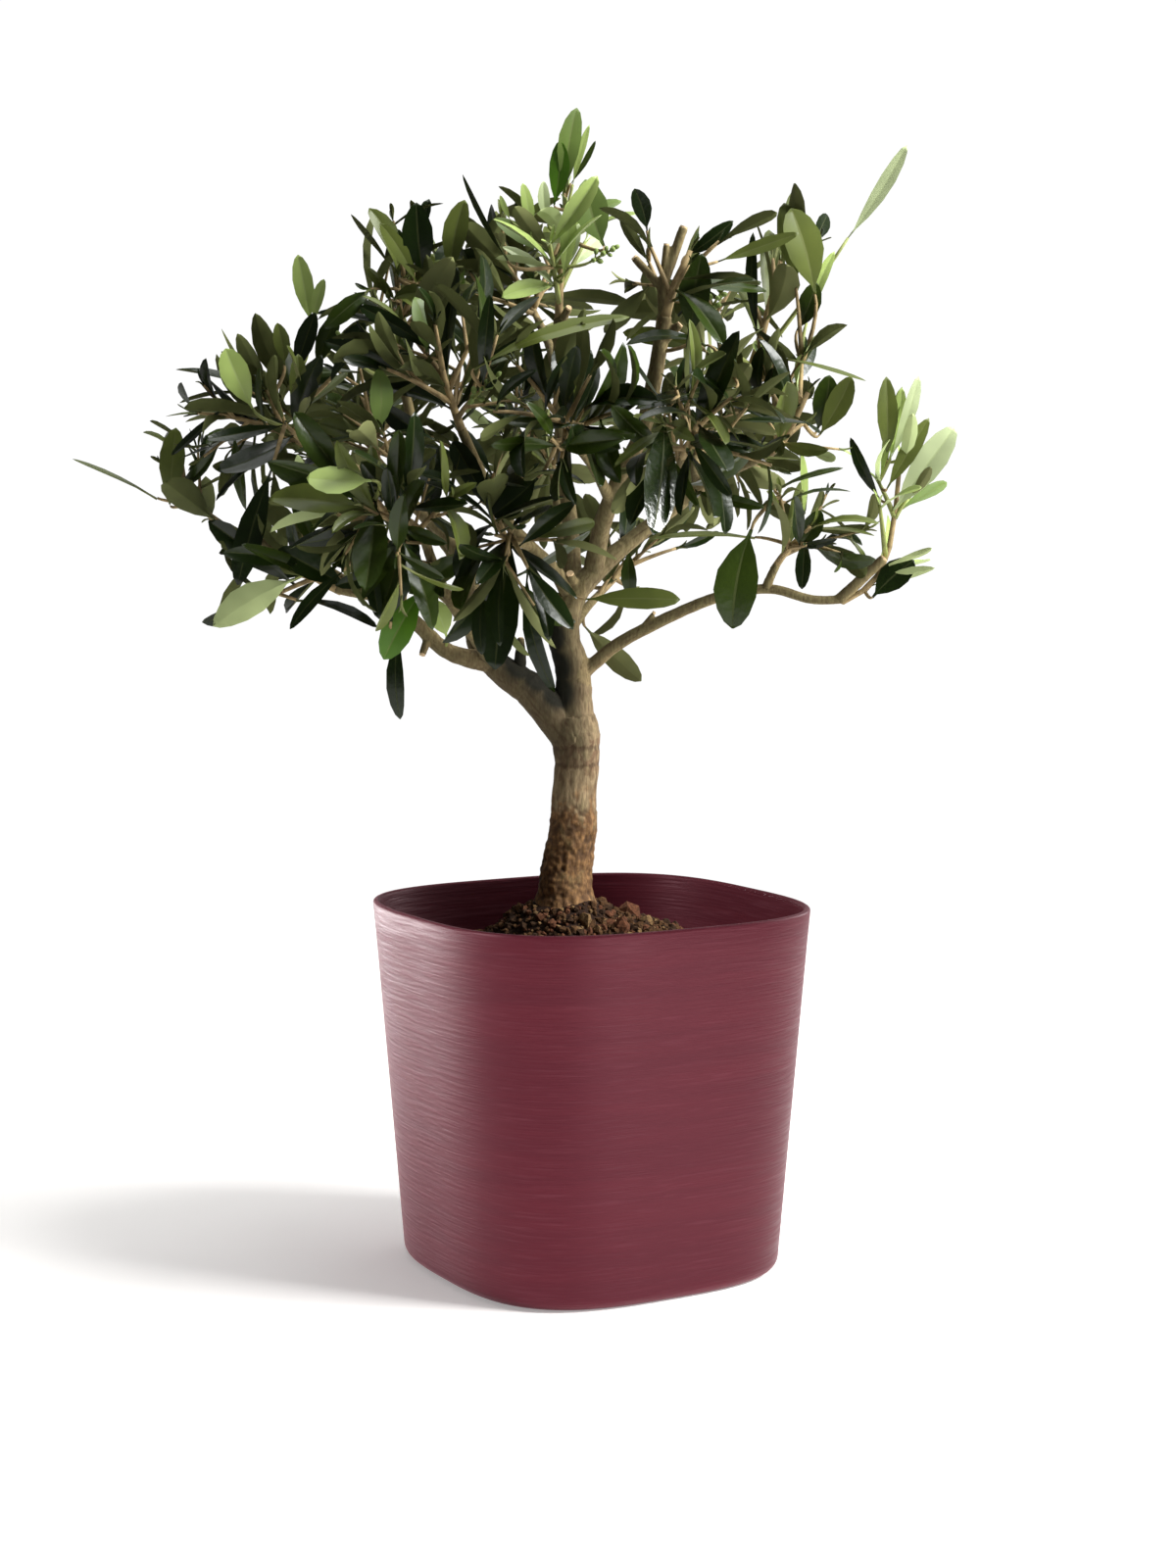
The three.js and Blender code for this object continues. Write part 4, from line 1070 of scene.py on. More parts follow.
def olive_bark(settings):
    """Olive bark: grey-beige with dark fissures that also hold painted shade, painted shade on the side
    away from the light and painted shade with algae in the fork, browner and mottled near the soil, tan
    when young."""
    made, tree, output = new_material("olive bark")
    relief, girth, damp = (add_node(tree, "ShaderNodeAttribute", attribute_name=name).outputs["Fac"]
                           for name in ("relief", "girth", "damp"))
    place = add_node(tree, "ShaderNodeTexCoord").outputs["Object"]
    height = add_node(tree, "ShaderNodeSeparateXYZ", {0: place}).outputs[2]
    mottle = grain(tree, 6, 4.0, (1, 1, 1.5))
    flakes = grain(tree, 3.5, 4.0)
    fine = grain(tree, 1.2, 4.0, (1, 1, 4))  # bark fibres are finer; drawn this coarse to show
    wander = spread(tree, mottle, 0.3, 0.7, -0.01, 0.01)
    wander = add_node(tree, "ShaderNodeMath", {0: height, 1: wander}, operation="ADD").outputs[0]
    facing = add_node(tree, "ShaderNodeNewGeometry").outputs["Normal"]
    shady = add_node(tree, "ShaderNodeVectorMath", {0: facing, 1: TREE_TO_POT @ np.array(SHADY_SIDE)},
                     operation="DOT_PRODUCT").outputs["Value"]
    old = mixed(tree, spread(tree, flakes, 0.38, 0.64), settings.base[:], settings.rust[:])
    old = mixed(tree, spread(tree, wander, *BASE_TO_TRUNK), old, settings.trunk[:])
    old = mixed(tree, spread(tree, flakes, 0.6, 0.8, 0, 0.5), old, settings.fleck[:])
    band = mixed(tree, spread(tree, wander, *TRUNK_TO_BAND), old, settings.band[:])
    old = mixed(tree, spread(tree, wander, *BAND_TO_TRUNK), band, old)
    colour = mixed(tree, spread(tree, girth, *YOUNG_TO_OLD), settings.young[:], old)
    colour = mixed(tree, spread(tree, mottle, 0.52, 0.75, 0, 0.4), colour, settings.moss[:])
    # Painted shade: bark that faces away from the light is darkened, from the upper trunk up
    side_shade = mixed(tree, spread(tree, shady, -0.3, 0.7, 0, 0.75), colour, settings.side_shade[:])
    colour = mixed(tree, spread(tree, height, *SIDE_SHADE_BEGINS), colour, side_shade)
    colour = mixed(tree, spread(tree, height, *MOSS_BEGINS, 0, 0.35), colour, settings.moss[:])
    # Grooves of the noise and of the skin's relief take the fissure colour: darker bark, with painted shade
    colour = mixed(tree, spread(tree, fine, 0.35, 0.65, 0.45, 0), colour, settings.fissure[:])
    colour = mixed(tree, spread(tree, relief, 0.05, 0.5, 0.75, 0), colour, settings.fissure[:])
    # Painted shade with algae: the bark near the fork is darkened almost to black
    colour = mixed(tree, spread(tree, damp, 0.08, 0.55, 0, 0.96), colour, settings.damp[:])
    surface(tree, output, Base_Color=colour, Roughness=0.85, Normal=raised(tree, fine, 0.4, 0.7),
            Specular_IOR_Level=0.25)
    return made


LEAF_VARIETY = 0.2  # how much darker and lighter a leaf's colour gets
LEAF_DRIFT = 30  # size in millimetres of the darker and lighter places


def drifting(tree, colour, variety, size):
    """Colour socket of a colour that drifts darker and lighter over places of a size in millimetres."""
    return mixed(tree, spread(tree, grain(tree, size, 2.0), 0.3, 0.7), dimmed(colour, 1 - variety),
                 dimmed(colour, 1 + variety))


def olive_leaf(name, colour, roughness, specular):
    """Leathery olive leaf: waxy, its colour drifting, with a slight unevenness that breaks the glints."""
    made, tree, output = new_material(name)
    surface(tree, output, Base_Color=drifting(tree, colour, LEAF_VARIETY, LEAF_DRIFT), Roughness=roughness,
            Normal=raised(tree, grain(tree, 3.5, 1.0), 0.2), Specular_IOR_Level=specular)
    return made


def dull_skin(name, colour, roughness, specular, variety=LEAF_VARIETY, size=LEAF_DRIFT):
    """Cut wood, twig bark, ribs, undersides and paler leaves: duller than wax, a colour that drifts."""
    made, tree, output = new_material(name)
    surface(tree, output, Base_Color=drifting(tree, colour, variety, size), Roughness=roughness,
            Specular_IOR_Level=specular)
    return made


def paper_floor(settings):
    """White paper that glows a little, so that its far edge is lost in the white behind it."""
    made, tree, output = new_material("white paper")
    surface(tree, output, Base_Color=settings.floor[:], Roughness=0.9, Specular_IOR_Level=0.1,
            Emission_Color=(1, 1, 1, 1), Emission_Strength=settings.glow)
    return made


# Settings

def colour_property(name, description, default):
    return bpy.props.FloatVectorProperty(name=name, description=description, subtype="COLOR", size=4,
                                         min=0, max=1, default=linear(default))


def number_property(name, description, default, **kind):
    """A number, with its unit, subtype or limits."""
    return bpy.props.FloatProperty(name=name, description=description, default=default, **kind)


def length_property(name, description, default):
    return number_property(name, description, default, unit="LENGTH", subtype="DISTANCE", min=0)


def roughness_property(name, description, default):
    return number_property(name, description, default, subtype="FACTOR", min=0, max=1)


def power_property(name, description, default):
    return number_property(name, description, default, unit="POWER")


class PotSettings(bpy.types.PropertyGroup):
    """Sizes and colours of the planter"""

    top_width: length_property("Top width", "Width of the rim across its flat sides", 0.195)
    foot_width: length_property("Foot width", "Width at the underside across the flat sides", 0.168)
    height: length_property("Height", "Height of the rim above the underside", 0.181)
    wall: length_property("Wall", "Thickness of the wall", 0.003)
    floor: length_property("Floor", "Thickness of the floor", 0.004)
    foot_round: length_property("Foot rounding", "Radius of the bottom edge", 0.007)
    squareness: number_property("Squareness", "Exponent of the outline: 2 is a circle", 3.1, min=2, max=8)
    colour: colour_property("Colour", "Base colour of the plastic", "#501b25")
    dark: colour_property("Dark streaks", "Colour of the darker streaks", "#4b1923")
    # Painted sheen of the brush lines
    lines: colour_property("Pale lines", "Colour of the pale brushed lines", "#85505b")
    sheen: colour_property("Sheen", "Colour of the brushed surface where light grazes it", "#ffbfca")


class SoilSettings(bpy.types.PropertyGroup):
    """Sizes and colours of the soil"""

    seat: length_property("Seat", "Height of the mound's flat crown", 0.170)
    crown: length_property("Crown", "Half width of the flat crown", 0.033)
    edge: length_property("Edge", "Height of the soil at the wall", 0.145)
    heap: length_property("Heap", "How high the soil is heaped against the trunk", 0.018)
    heap_width: length_property("Heap width", "How far the heap runs out", 0.025)
    depth: length_property("Depth of crumbs", "How far the bed lies below the crumbs' tops", 0.0012)
    crumb: length_property("Crumb", "Middle radius of a crumb", 0.0014)
    spacing: length_property("Spacing", "Distance between crumbs", 0.0028)
    bed: colour_property("Bed", "Colour between the crumbs", "#2e1d12")
    dark: colour_property("Dark", "Colour of the darkest crumbs", "#3b2818")
    brown: colour_property("Brown", "Colour of the most frequent crumbs", "#553b23")
    red: colour_property("Red-brown", "Colour of the reddish crumbs", "#633e29")
    tan: colour_property("Tan", "Colour of the palest crumbs", "#7f6442")


class BarkSettings(bpy.types.PropertyGroup):
    """Relief and colours of trunk and boughs"""

    voxel: length_property("Grain", "Size of the steps that the limbs are joined in", 0.00066)
    relief: length_property("Relief", "Depth of the deepest fissures of the trunk", 0.0007)
    trunk: colour_property("Trunk", "Colour of the upper trunk", "#998565")
    base: colour_property("Base", "Colour of the trunk near the soil", "#6a4d32")
    rust: colour_property("Rust", "Colour of the flakes near the soil", "#957047")
    fleck: colour_property("Flecks", "Colour of the palest flecks", "#b3a384")
    band: colour_property("Band", "Colour of the ring below the fork", "#83694f")
    young: colour_property("Young bark", "Colour of thin boughs", "#9b8860")
    moss: colour_property("Moss", "Colour of the greenish patches", "#807a52")
    # Painted shade on the side away from the light, in a dark olive
    side_shade: colour_property("Algae", "Colour of the shady side", "#35331f")
    # Painted shade with algae in the fork
    damp: colour_property("Damp", "Colour of the damp fork", "#10120a")
    # Darker bark of the grooves, with painted shade
    fissure: colour_property("Fissures", "Colour of the grooves", "#423020")
    cut: colour_property("Cut wood", "Colour of the pruned ends", "#cbb088")


class LeafSettings(bpy.types.PropertyGroup):
    """Colours of leaves and twigs"""

    dark: colour_property("Dark", "Upper side of the oldest leaves", "#142105")
    mid: colour_property("Middle", "Upper side of the usual leaves", "#28360b")
    olive: colour_property("Olive", "Upper side of the greyer leaves", "#566029")
    fresh: colour_property("Fresh", "Upper side of leaves in their second year", "#5d7135")
    young: colour_property("Young", "Upper side of new leaves", "#9aae61")
    pale: colour_property("Pale", "Upper side of the newest leaves", "#b4c192")
    bright: colour_property("Bright", "Upper side of the brightest leaves", "#446a14")
    waxy: colour_property("Waxy", "Upper side of the glossiest leaves", "#142105")
    # Painted shade: old leaves' undersides drawn darker than their silvery grey
    under_old_shaded: colour_property("Old underside", "Underside of the oldest leaves", "#4b502c")
    under: colour_property("Underside", "Underside of grown leaves", "#70744a")
    under_young: colour_property("Young underside", "Underside of new leaves", "#a6b47e")
    twig: colour_property("Twig", "Bark of the twigs", "#8f7c57")
    shoot: colour_property("Shoot", "Skin of new shoots", "#858d4c")
    bud: colour_property("Bud", "Flower buds", "#7f9250")
    gloss: roughness_property("Gloss", "Roughness of old leaves' upper side", 0.3)
    wax: roughness_property("Wax", "Roughness of the glossiest leaves' upper side", 0.16)
    satin: roughness_property("Satin", "Roughness of the other leaves' upper side", 0.42)


class StageSettings(bpy.types.PropertyGroup):
    """Camera, floor and light"""

    lens: number_property("Lens", "Focal length", 59.8, unit="CAMERA")
    key: power_property("Key", "Power of the light on the right", 70)
    top: power_property("Top", "Power of the light overhead", 26)
    side: power_property("Side", "Power of the low light on the left", 1.75)
    front: power_property("Pot front", "Power of the pot's own light on the right", 13.2)
    inner: power_property("Pot inside", "Power of the light into the pot from the left", 6)
    far: power_property("Pot far side", "Power of the light into the pot from the right", 5)
    fill: number_property("Fill", "Strength of the light from all around", 0.08)
    back: number_property("Back", "Strength of the light from behind", 0.45)
    backdrop: number_property("Backdrop", "Brightness of the white that is seen", 1.03)
    floor: colour_property("Floor", "Colour of the floor", "#f4f2ef")
    glow: number_property("Glow", "Light that the floor gives off", 0.3)


# Pieces

POT_STEPS = 144  # flat steps round the planter
WALL_RINGS = 14
FOOT_ARC, RIM_ARC, FLOOR_ARC = 8, 8, 6  # steps of the rounded edges
FLOOR_RING = 3  # the inner wall ends above this ring, where it rounds into the floor
DOUBLES = 1e-6  # corners closer than this are one


class OBJECT_OT_bonsai_pot(bpy.types.Operator):
    """Turn the planter's profile and draw its circle out to a rounded square"""

    bl_idname = "object.bonsai_pot"
    bl_label = "Planter"

    def execute(self, context):
        pot = context.scene.bonsai_pot
        bm = spun_square(pot_profile(pot), POT_STEPS, pot.squareness)
        bmesh.ops.recalc_face_normals(bm, faces=bm.faces)
        add_piece("planter", mesh_from("planter", bm), [pot_plastic(pot)], ["pot"])
        return {"FINISHED"}


def pot_half_width(pot, z):
    """Half the planter's width across its flat sides at a height."""
    return (pot.foot_width + (pot.top_width - pot.foot_width) * z / pot.height) / 2


def arc(x, z, radius, start, end, steps):
    """Points of an arc about a place, from one angle in degrees to another."""
    angles = np.radians(np.linspace(start, end, steps + 1))
    return [(x + radius * math.cos(a), z + radius * math.sin(a)) for a in angles]


def pot_profile(pot):
    """Half section of the planter, from the middle of the underside round to that of the floor."""
    foot, lip = pot.foot_round, pot.wall / 2
    inner = pot_half_width(pot, pot.floor) - pot.wall
    walls = np.linspace(foot, pot.height - lip, WALL_RINGS)
    return ([(0, 0)] + arc(pot_half_width(pot, foot) - foot, foot, foot, -90, 0, FOOT_ARC)
            + [(pot_half_width(pot, z), z) for z in walls[1:-1]]
            + arc(pot_half_width(pot, pot.height) - lip, pot.height - lip, lip, 0, 180, RIM_ARC)
            + [(pot_half_width(pot, z) - pot.wall, z) for z in walls[-2:FLOOR_RING:-1]]
            + arc(inner - foot, pot.floor + foot, foot, 0, -90, FLOOR_ARC) + [(0, pot.floor)])


def square_draw(x, y, squareness):
    """How far a circle is drawn out in a direction to make the rounded square."""
    angle = math.atan2(y, x)
    across, along = abs(math.cos(angle)), abs(math.sin(angle))
    return (across ** squareness + along ** squareness) ** (-1 / squareness)


def square_reach(x, y, squareness):
    """How far out a place is, counted along the flat sides' middle."""
    return math.hypot(x, y) / square_draw(x, y, squareness)


def spun_square(profile, steps, squareness):
    """A half section spun about the vertical, and its circle drawn out to the rounded square."""
    bm = bmesh.new()
    corners = [bm.verts.new((x, 0, z)) for x, z in profile]
    edges = [bm.edges.new(pair) for pair in zip(corners, corners[1:])]
    bmesh.ops.spin(bm, geom=corners + edges, axis=(0, 0, 1), cent=(0, 0, 0), steps=steps,
                   angle=2 * math.pi, use_merge=True)
    bmesh.ops.remove_doubles(bm, verts=bm.verts, dist=DOUBLES)
    for vert in bm.verts:
        grow = square_draw(vert.co.x, vert.co.y, squareness)
        vert.co.x *= grow
        vert.co.y *= grow
    return bm


# Sizes of the soil in metres, and shares of a crumb's size
SOIL_LUMPS = ((0.0014, 0.008), (0.0008, 0.0045))  # height and width of the mound's lumps
SOIL_UNEVEN = (0.001, 0.006)  # height and width of its unevenness
LUMPS_BEGIN = 6  # the lumps are full from one sixth of the slope on
SOIL_SKIRT = 0.02  # how far the bed's edge goes down along the wall
SOIL_RINGS, SOIL_STEPS = 46, 120
CRUMB_KINDS = {"brown": 0.46, "red": 0.22, "tan": 0.1, "dark": 0.22}  # shares of the colours
CRUMB_ROW = 0.87  # distance of two rows over that of two crumbs
CRUMB_STRAY = 0.42  # how far chance moves a crumb, over their distance
CRUMB_VARIETY = 0.42  # spread of the crumbs' sizes
CRUMB_STRETCH = (0.72, 1.25)
CRUMB_CORNERS = (0.72, 1.2)  # how far chance moves its corners in or out
CRUMB_TURN = 6.28  # it is turned any way
CRUMB_LIFT = 0.25  # how far its middle stands over the bed
CRUMB_WALL = 1.2  # how far it keeps from the wall
TRUNK_FOOT = 0.016  # how far it keeps from the trunk's middle


class OBJECT_OT_bonsai_soil(bpy.types.Operator):
    """Raise the mound of soil in the planter and strew it with crumbs"""

    bl_idname = "object.bonsai_soil"
    bl_label = "Soil"

    def execute(self, context):
        pot, soil = context.scene.bonsai_pot, context.scene.bonsai_soil
        wall = pot_half_width(pot, soil.edge) - pot.wall
        trunk = to_pot([LIMBS["trunk"][1][0]])[0]

        def height(x, y):
            """The bed under the crumbs: a slope to the wall, lumps on it, and a heap round the trunk."""
            out = square_reach(x, y, pot.squareness)
            share = min(1, max(0, (wall - out) / (wall - soil.crown)))
            lumps = sum(tall * math.sin(x / wide) * math.sin(y / wide) for tall, wide in SOIL_LUMPS)
            lumps += noise.noise(Vector((x, y, 0)) / SOIL_UNEVEN[1]) * SOIL_UNEVEN[0]
            away = math.hypot(x - trunk[0], y - trunk[1]) / soil.heap_width
            return (soil.edge - soil.depth + (soil.seat - soil.edge) * share
                    + lumps * min(1, LUMPS_BEGIN * share) + soil.heap * math.exp(-away * away))

        level = [(wall * share, 0) for share in np.linspace(0, 1, SOIL_RINGS)]
        bm = spun_square(level, SOIL_STEPS, pot.squareness)
        for vert in bm.verts:
            vert.co.z = height(vert.co.x, vert.co.y)
        rim = [edge for edge in bm.edges if edge.is_boundary]
        skirt = bmesh.ops.extrude_edge_only(bm, edges=rim)["geom"]
        skirt = [part for part in skirt if isinstance(part, bmesh.types.BMVert)]
        bmesh.ops.translate(bm, vec=(0, 0, -SOIL_SKIRT), verts=skirt)
        bmesh.ops.holes_fill(bm, edges=[edge for edge in bm.edges if edge.is_boundary])
        bmesh.ops.recalc_face_normals(bm, faces=bm.faces)
        bed = soil_crumb("soil", soil.bed[:])
        add_piece("soil_bed", mesh_from("soil_bed", bm), [bed], ["soil"])
        kinds = [soil_crumb(f"{name} soil crumbs", getattr(soil, name)[:]) for name in CRUMB_KINDS]
        strewn = crumbs(soil, wall, pot.squareness, height, trunk)
        add_piece("soil_crumbs", strewn, kinds, ["soil"])
        return {"FINISHED"}


def crumbs(soil, wall, squareness, height, trunk):
    """One mesh of angular crumbs, strewn evenly over the mound and clear of the trunk."""
    ball = bmesh.new()
    bmesh.ops.create_icosphere(ball, subdivisions=1, radius=1)
    shape = np.array([vert.co for vert in ball.verts])
    faces = [tuple(vert.index for vert in face.verts) for face in ball.faces]
    ball.free()
    rng = np.random.default_rng(11)
    points, kinds = [], []
    steps = int(wall / soil.spacing / CRUMB_ROW) + 1
    for row in range(-steps, steps + 1):
        for column in range(-steps, steps + 1):
            place = np.array((column + row % 2 / 2, row * CRUMB_ROW))
            x, y = (place + rng.uniform(-CRUMB_STRAY, CRUMB_STRAY, 2)) * soil.spacing
            size = soil.crumb * rng.lognormal(0, CRUMB_VARIETY)
            stretch = rng.uniform(*CRUMB_STRETCH, 3)
            corners = rng.uniform(*CRUMB_CORNERS, (len(shape), 1))
            turn = Matrix.Rotation(rng.uniform(0, CRUMB_TURN), 3, Vector(rng.normal(size=3)))
            kind = rng.choice(len(CRUMB_KINDS), p=list(CRUMB_KINDS.values()))
            if (square_reach(x, y, squareness) > wall - CRUMB_WALL * size
                    or math.hypot(x - trunk[0], y - trunk[1]) < TRUNK_FOOT + size):
                continue
            middle = (x, y, height(x, y) + CRUMB_LIFT * size)
            points.append((shape * corners * stretch * size) @ np.array(turn).T + middle)
            kinds.append(kind)
    mesh = mesh_of("soil_crumbs", points, joined(faces, len(points), len(shape)), smooth=False)
    mesh.polygons.foreach_set("material_index", np.repeat(kinds, len(faces)).astype(np.int32))
    return mesh


COURSE_STEP = 1.6  # distance in millimetres of the points along a limb
LENGTH_STEPS = 60  # points by which a limb's length is measured
LEADER_SLIMS = ((0.42, 0.6), (1, 0.8))  # shares of the leader, and its radius there over the table's
COLLAR = 0.16  # how much thicker a limb is where it leaves another
COLLAR_LENGTH = 2.2  # over the limb's radius
STUB_STEPS = 12
STUB_FOOT = 1.25  # radius of a stub's foot over that of its end
CUT_END = (0.86, 0.8)  # radii of a cut end's disc over that of its stub
CUT_THICKNESS = 0.9
LIMB_ROUNDNESS = 6  # corners in a quarter of a limb's section
BARK_SMOOTHING = {"factor": 0.5, "iterations": 5}


def limb_course(name):
    """Points and radii at even steps along a limb, with a collar where it leaves another."""
    rough = np.linspace(0, 1, LENGTH_STEPS)
    length = twig_length(np.array([limb_point(name, share) for share in rough]))
    shares = np.linspace(0, 1, int(length / COURSE_STEP) + 2)
    points = np.array([limb_point(name, share) for share in shares])
    radii = np.array([limb_radius(name, share) for share in shares])
    if name == "leader":
        radii *= np.interp(shares, *LEADER_SLIMS)
    if name != "trunk":
        radii *= 1 + COLLAR * np.exp(-shares * length / (COLLAR_LENGTH * radii[0]))
    return points, radii


def stub_course(limb, share, end, radius, stem=None):
    """Points and radii of a stub, straight or by way of the stem it shares with others."""
    start = limb_point(limb, share)
    steps = np.linspace(0, 1, STUB_STEPS)
    knee = np.array(end) / 2 if stem is None else stem
    course = [np.interp(steps, (0, 0.5, 1), (0, *way)) for way in zip(knee, end)]
    return start + np.array(course).T, radius * between((STUB_FOOT, 1), steps)


def bark_mesh(name, courses, settings):
    """Joins tubes along the courses into one skin and works the bark's relief into it."""
    curve = bpy.data.curves.new(name, "CURVE")
    curve.dimensions = "3D"
    curve.bevel_depth = MM
    curve.bevel_resolution = LIMB_ROUNDNESS
    curve.use_fill_caps = True
    for points, radii in courses:
        spline = curve.splines.new("POLY")
        spline.points.add(len(points) - 1)
        spline.points.foreach_set("co", np.column_stack([to_pot(points), np.ones(len(points))]).ravel())
        spline.points.foreach_set("radius", radii)
    mesh = evaluated_mesh(name, curve)
    mesh = evaluated_mesh(name, mesh, [
        ("REMESH", {"mode": "VOXEL", "voxel_size": settings.voxel}), ("SMOOTH", BARK_SMOOTHING)])
    add_relief(mesh, courses, settings.relief / MM)
    mesh.polygons.foreach_set("use_smooth", [True] * len(mesh.polygons))
    return mesh


# Relief of the bark: widths and heights in millimetres, depths over that of the settings
WART = np.array((-19, -9, 229))
WART_HEIGHT, WART_SPREAD = 2, 14
OLD_BARK = 230  # height up to which the trunk's bark is old and rough
OLD_WANDER = (3, 6)  # how far that height wanders, and over which width
OLD_STEEPNESS = 0.6  # how fast one kind of bark passes into the other
# Places along the fork where the bark swells, and where painted shade with algae darkens it
CROTCH = np.array(((-16, -3, 285), (-24, -5, 294), (-33, -5, 300), (-44, -5, 309), (-18, -4, 297),
                   (-21, -4, 312)))
FORK_REACH = 10
SWELLING = 1.6
RINGS = ((249.5, 1.3), (258, 1.3))  # heights and widths of the grooves round the trunk
RING_WANDER = 8
RING_RADIUS = 9  # thinner limbs have no grooves
FULL_RADIUS = 11  # limbs from this radius on have their full relief
FURROW_WIDTH, FURROW_LENGTH = (0.5, 1.5), 9  # the least width, and how much more a thick limb adds
LUMP_WIDTH = (3, 13)
BARK_CRUMBS = (5.5, 2.4)  # widths of the coarse and fine crumbs of old bark
FURROW_DEPTH, CRUMB_DEPTH, LUMP_DEPTH, RING_DEPTH = 0.45, 1.1, 0.9, 0.45
FURROW_SHADE, CRUMB_SHADE, RING_SHADE = 0.9, 0.7, 0.35  # how strongly each darkens the colour: darker bark in the grooves, with painted shade


def add_relief(mesh, courses, depth):
    """Moves the skin in and out: fine grain along the limbs, lumps, rings, and crumbs near the soil."""
    axes = []
    for points, radii in courses:
        heading = np.gradient(points, axis=0)
        heading /= np.linalg.norm(heading, axis=1)[:, None]
        run = np.concatenate([[0], np.cumsum(np.linalg.norm(np.diff(points, axis=0), axis=1))])
        axes += list(zip(points, radii, heading, run))
    tree = kdtree.KDTree(len(axes))
    for place, (point, *_) in enumerate(axes):
        tree.insert(point, place)
    tree.balance()
    count = len(mesh.vertices)
    skin = np.empty(count * 3)
    normals = np.empty(count * 3)
    mesh.vertices.foreach_get("co", skin)
    mesh.vertex_normals.foreach_get("vector", normals)
    skin, normals = skin.reshape(-1, 3), normals.reshape(-1, 3)
    own = skin @ TREE_TO_POT / MM
    relief, girth, shift = np.empty(count), np.empty(count), np.empty(count)
    # Nearness to the fork: it swells the bark there and carries painted shade with algae into its colour
    away = np.linalg.norm(own[:, None] - CROTCH, axis=2).min(axis=1)
    damp = np.exp(-(away / FORK_REACH) ** 2)
    for i, place in enumerate(own):
        point, radius, heading, run = axes[tree.find(place)[1]]
        out = place - point
        along = run + out.dot(heading)
        out = out - heading * out.dot(heading)
        size = min(1.0, radius / FULL_RADIUS)
        spot = Vector(place)
        fine = Vector(out / (FURROW_WIDTH[1] * size + FURROW_WIDTH[0]) + heading * (along / FURROW_LENGTH))
        furrow = noise.noise(fine) * 0.5 + noise.noise(fine * 2.2) * 0.3
        lump = noise.noise(spot / (LUMP_WIDTH[1] * size + LUMP_WIDTH[0]))
        edge = OLD_BARK + OLD_WANDER[0] * noise.noise(spot / OLD_WANDER[1])
        old = 1 / (1 + math.exp((place[2] - edge) * OLD_STEEPNESS))
        crumb = noise.noise(spot / BARK_CRUMBS[0]) * 0.8 + noise.noise(spot / BARK_CRUMBS[1]) * 0.7
        level = place[2] - noise.noise(spot / RING_WANDER)
        ring = sum(math.exp(-((level - z) / width) ** 2) for z, width in RINGS) * (radius > RING_RADIUS)
        grown = (1 - old) * size * FURROW_DEPTH * furrow + old * CRUMB_DEPTH * crumb
        grown += LUMP_DEPTH * size * lump - RING_DEPTH * ring
        shift[i] = depth * grown + SWELLING * damp[i]
        shift[i] += WART_HEIGHT * math.exp(-((place - WART) ** 2).sum() / WART_SPREAD)
        relief[i] = (0.5 + (1 - old) * furrow * FURROW_SHADE + old * crumb * CRUMB_SHADE
                     - RING_SHADE * ring)
        girth[i] = radius
    mesh.vertices.foreach_set("co", (skin + normals * shift[:, None] * MM).ravel())
    for name, values in (("relief", relief), ("girth", girth), ("damp", damp)):
        mesh.attributes.new(name, "FLOAT", "POINT").data.foreach_set("value", values)
    mesh.update()


class OBJECT_OT_bonsai_bark(bpy.types.Operator):
    """Join trunk and boughs into skins with the bark's relief, and cap the pruned stubs"""

    bl_idname = "object.bonsai_bark"
    bl_label = "Trunk and boughs"

    def execute(self, context):
        settings = context.scene.bonsai_bark
        bark = olive_bark(settings)
        stubs = [stub_course(*stub) for stub in STUBS]
        for name, limbs in (("trunk_and_limbs", MAIN_LIMBS), ("boughs", SMALL_LIMBS)):
            courses = [limb_course(limb) for limb in limbs]
            courses += [course for course, stub in zip(stubs, STUBS) if stub[0] in limbs]
            add_piece(name, bark_mesh(name, courses, settings), [bark], limbs)
        wood = dull_skin("cut olive wood", settings.cut[:], 0.7, 0.3, size=2)
        add_piece("cut_ends", cut_ends(stubs), [wood], ["trunk"])
        return {"FINISHED"}


def cut_ends(stubs):
    """Thin discs of bare wood on the ends of the stubs."""
    bm = bmesh.new()
    for points, radii in stubs:
        before, end = to_pot(points[[-2, -1]])
        bmesh.ops.create_cone(bm, cap_ends=True, segments=14, radius1=radii[-1] * CUT_END[0] * MM,
                              radius2=radii[-1] * CUT_END[1] * MM, depth=CUT_THICKNESS * MM,
                              matrix=standing(end, end - before))
    return mesh_from("cut_ends", bm, smooth=False)


class OBJECT_OT_bonsai_twigs(bpy.types.Operator):
    """Grow the twigs and join them into one mesh"""

    bl_idname = "object.bonsai_twigs"
    bl_label = "Twigs"

    def execute(self, context):
        settings = context.scene.bonsai_leaf
        twigs = foliage().twigs
        turns = np.linspace(0, 2 * math.pi, TWIG_SIDES, endpoint=False)[:, None]
        points = []
        for twig in twigs:
            across, over = sideways(unit(twig.path[-1] - twig.path[0]))
            ring = across * np.cos(turns) + over * np.sin(turns)
            radii = between((twig.butt, twig.tip), TWIG_STEPS)
            points.append(twig.path[:, None] + ring * radii[:, None, None])
        shape = tube_faces(TWIG_RINGS, TWIG_SIDES)
        faces = joined(shape, len(twigs), TWIG_RINGS * TWIG_SIDES)
        mesh = mesh_of("twigs", to_pot(np.array(points)), faces)
        green = np.repeat([twig.green for twig in twigs], len(shape))
        mesh.polygons.foreach_set("material_index", green.astype(np.int32))
        kinds = [dull_skin("twig bark", settings.twig[:], 0.8, 0.3, 0.35, 6),
                 dull_skin("green shoot", settings.shoot[:], 0.6, 0.4, size=10)]
        add_piece("twigs", mesh, kinds, FOLIAGE_NODES)
        return {"FINISHED"}


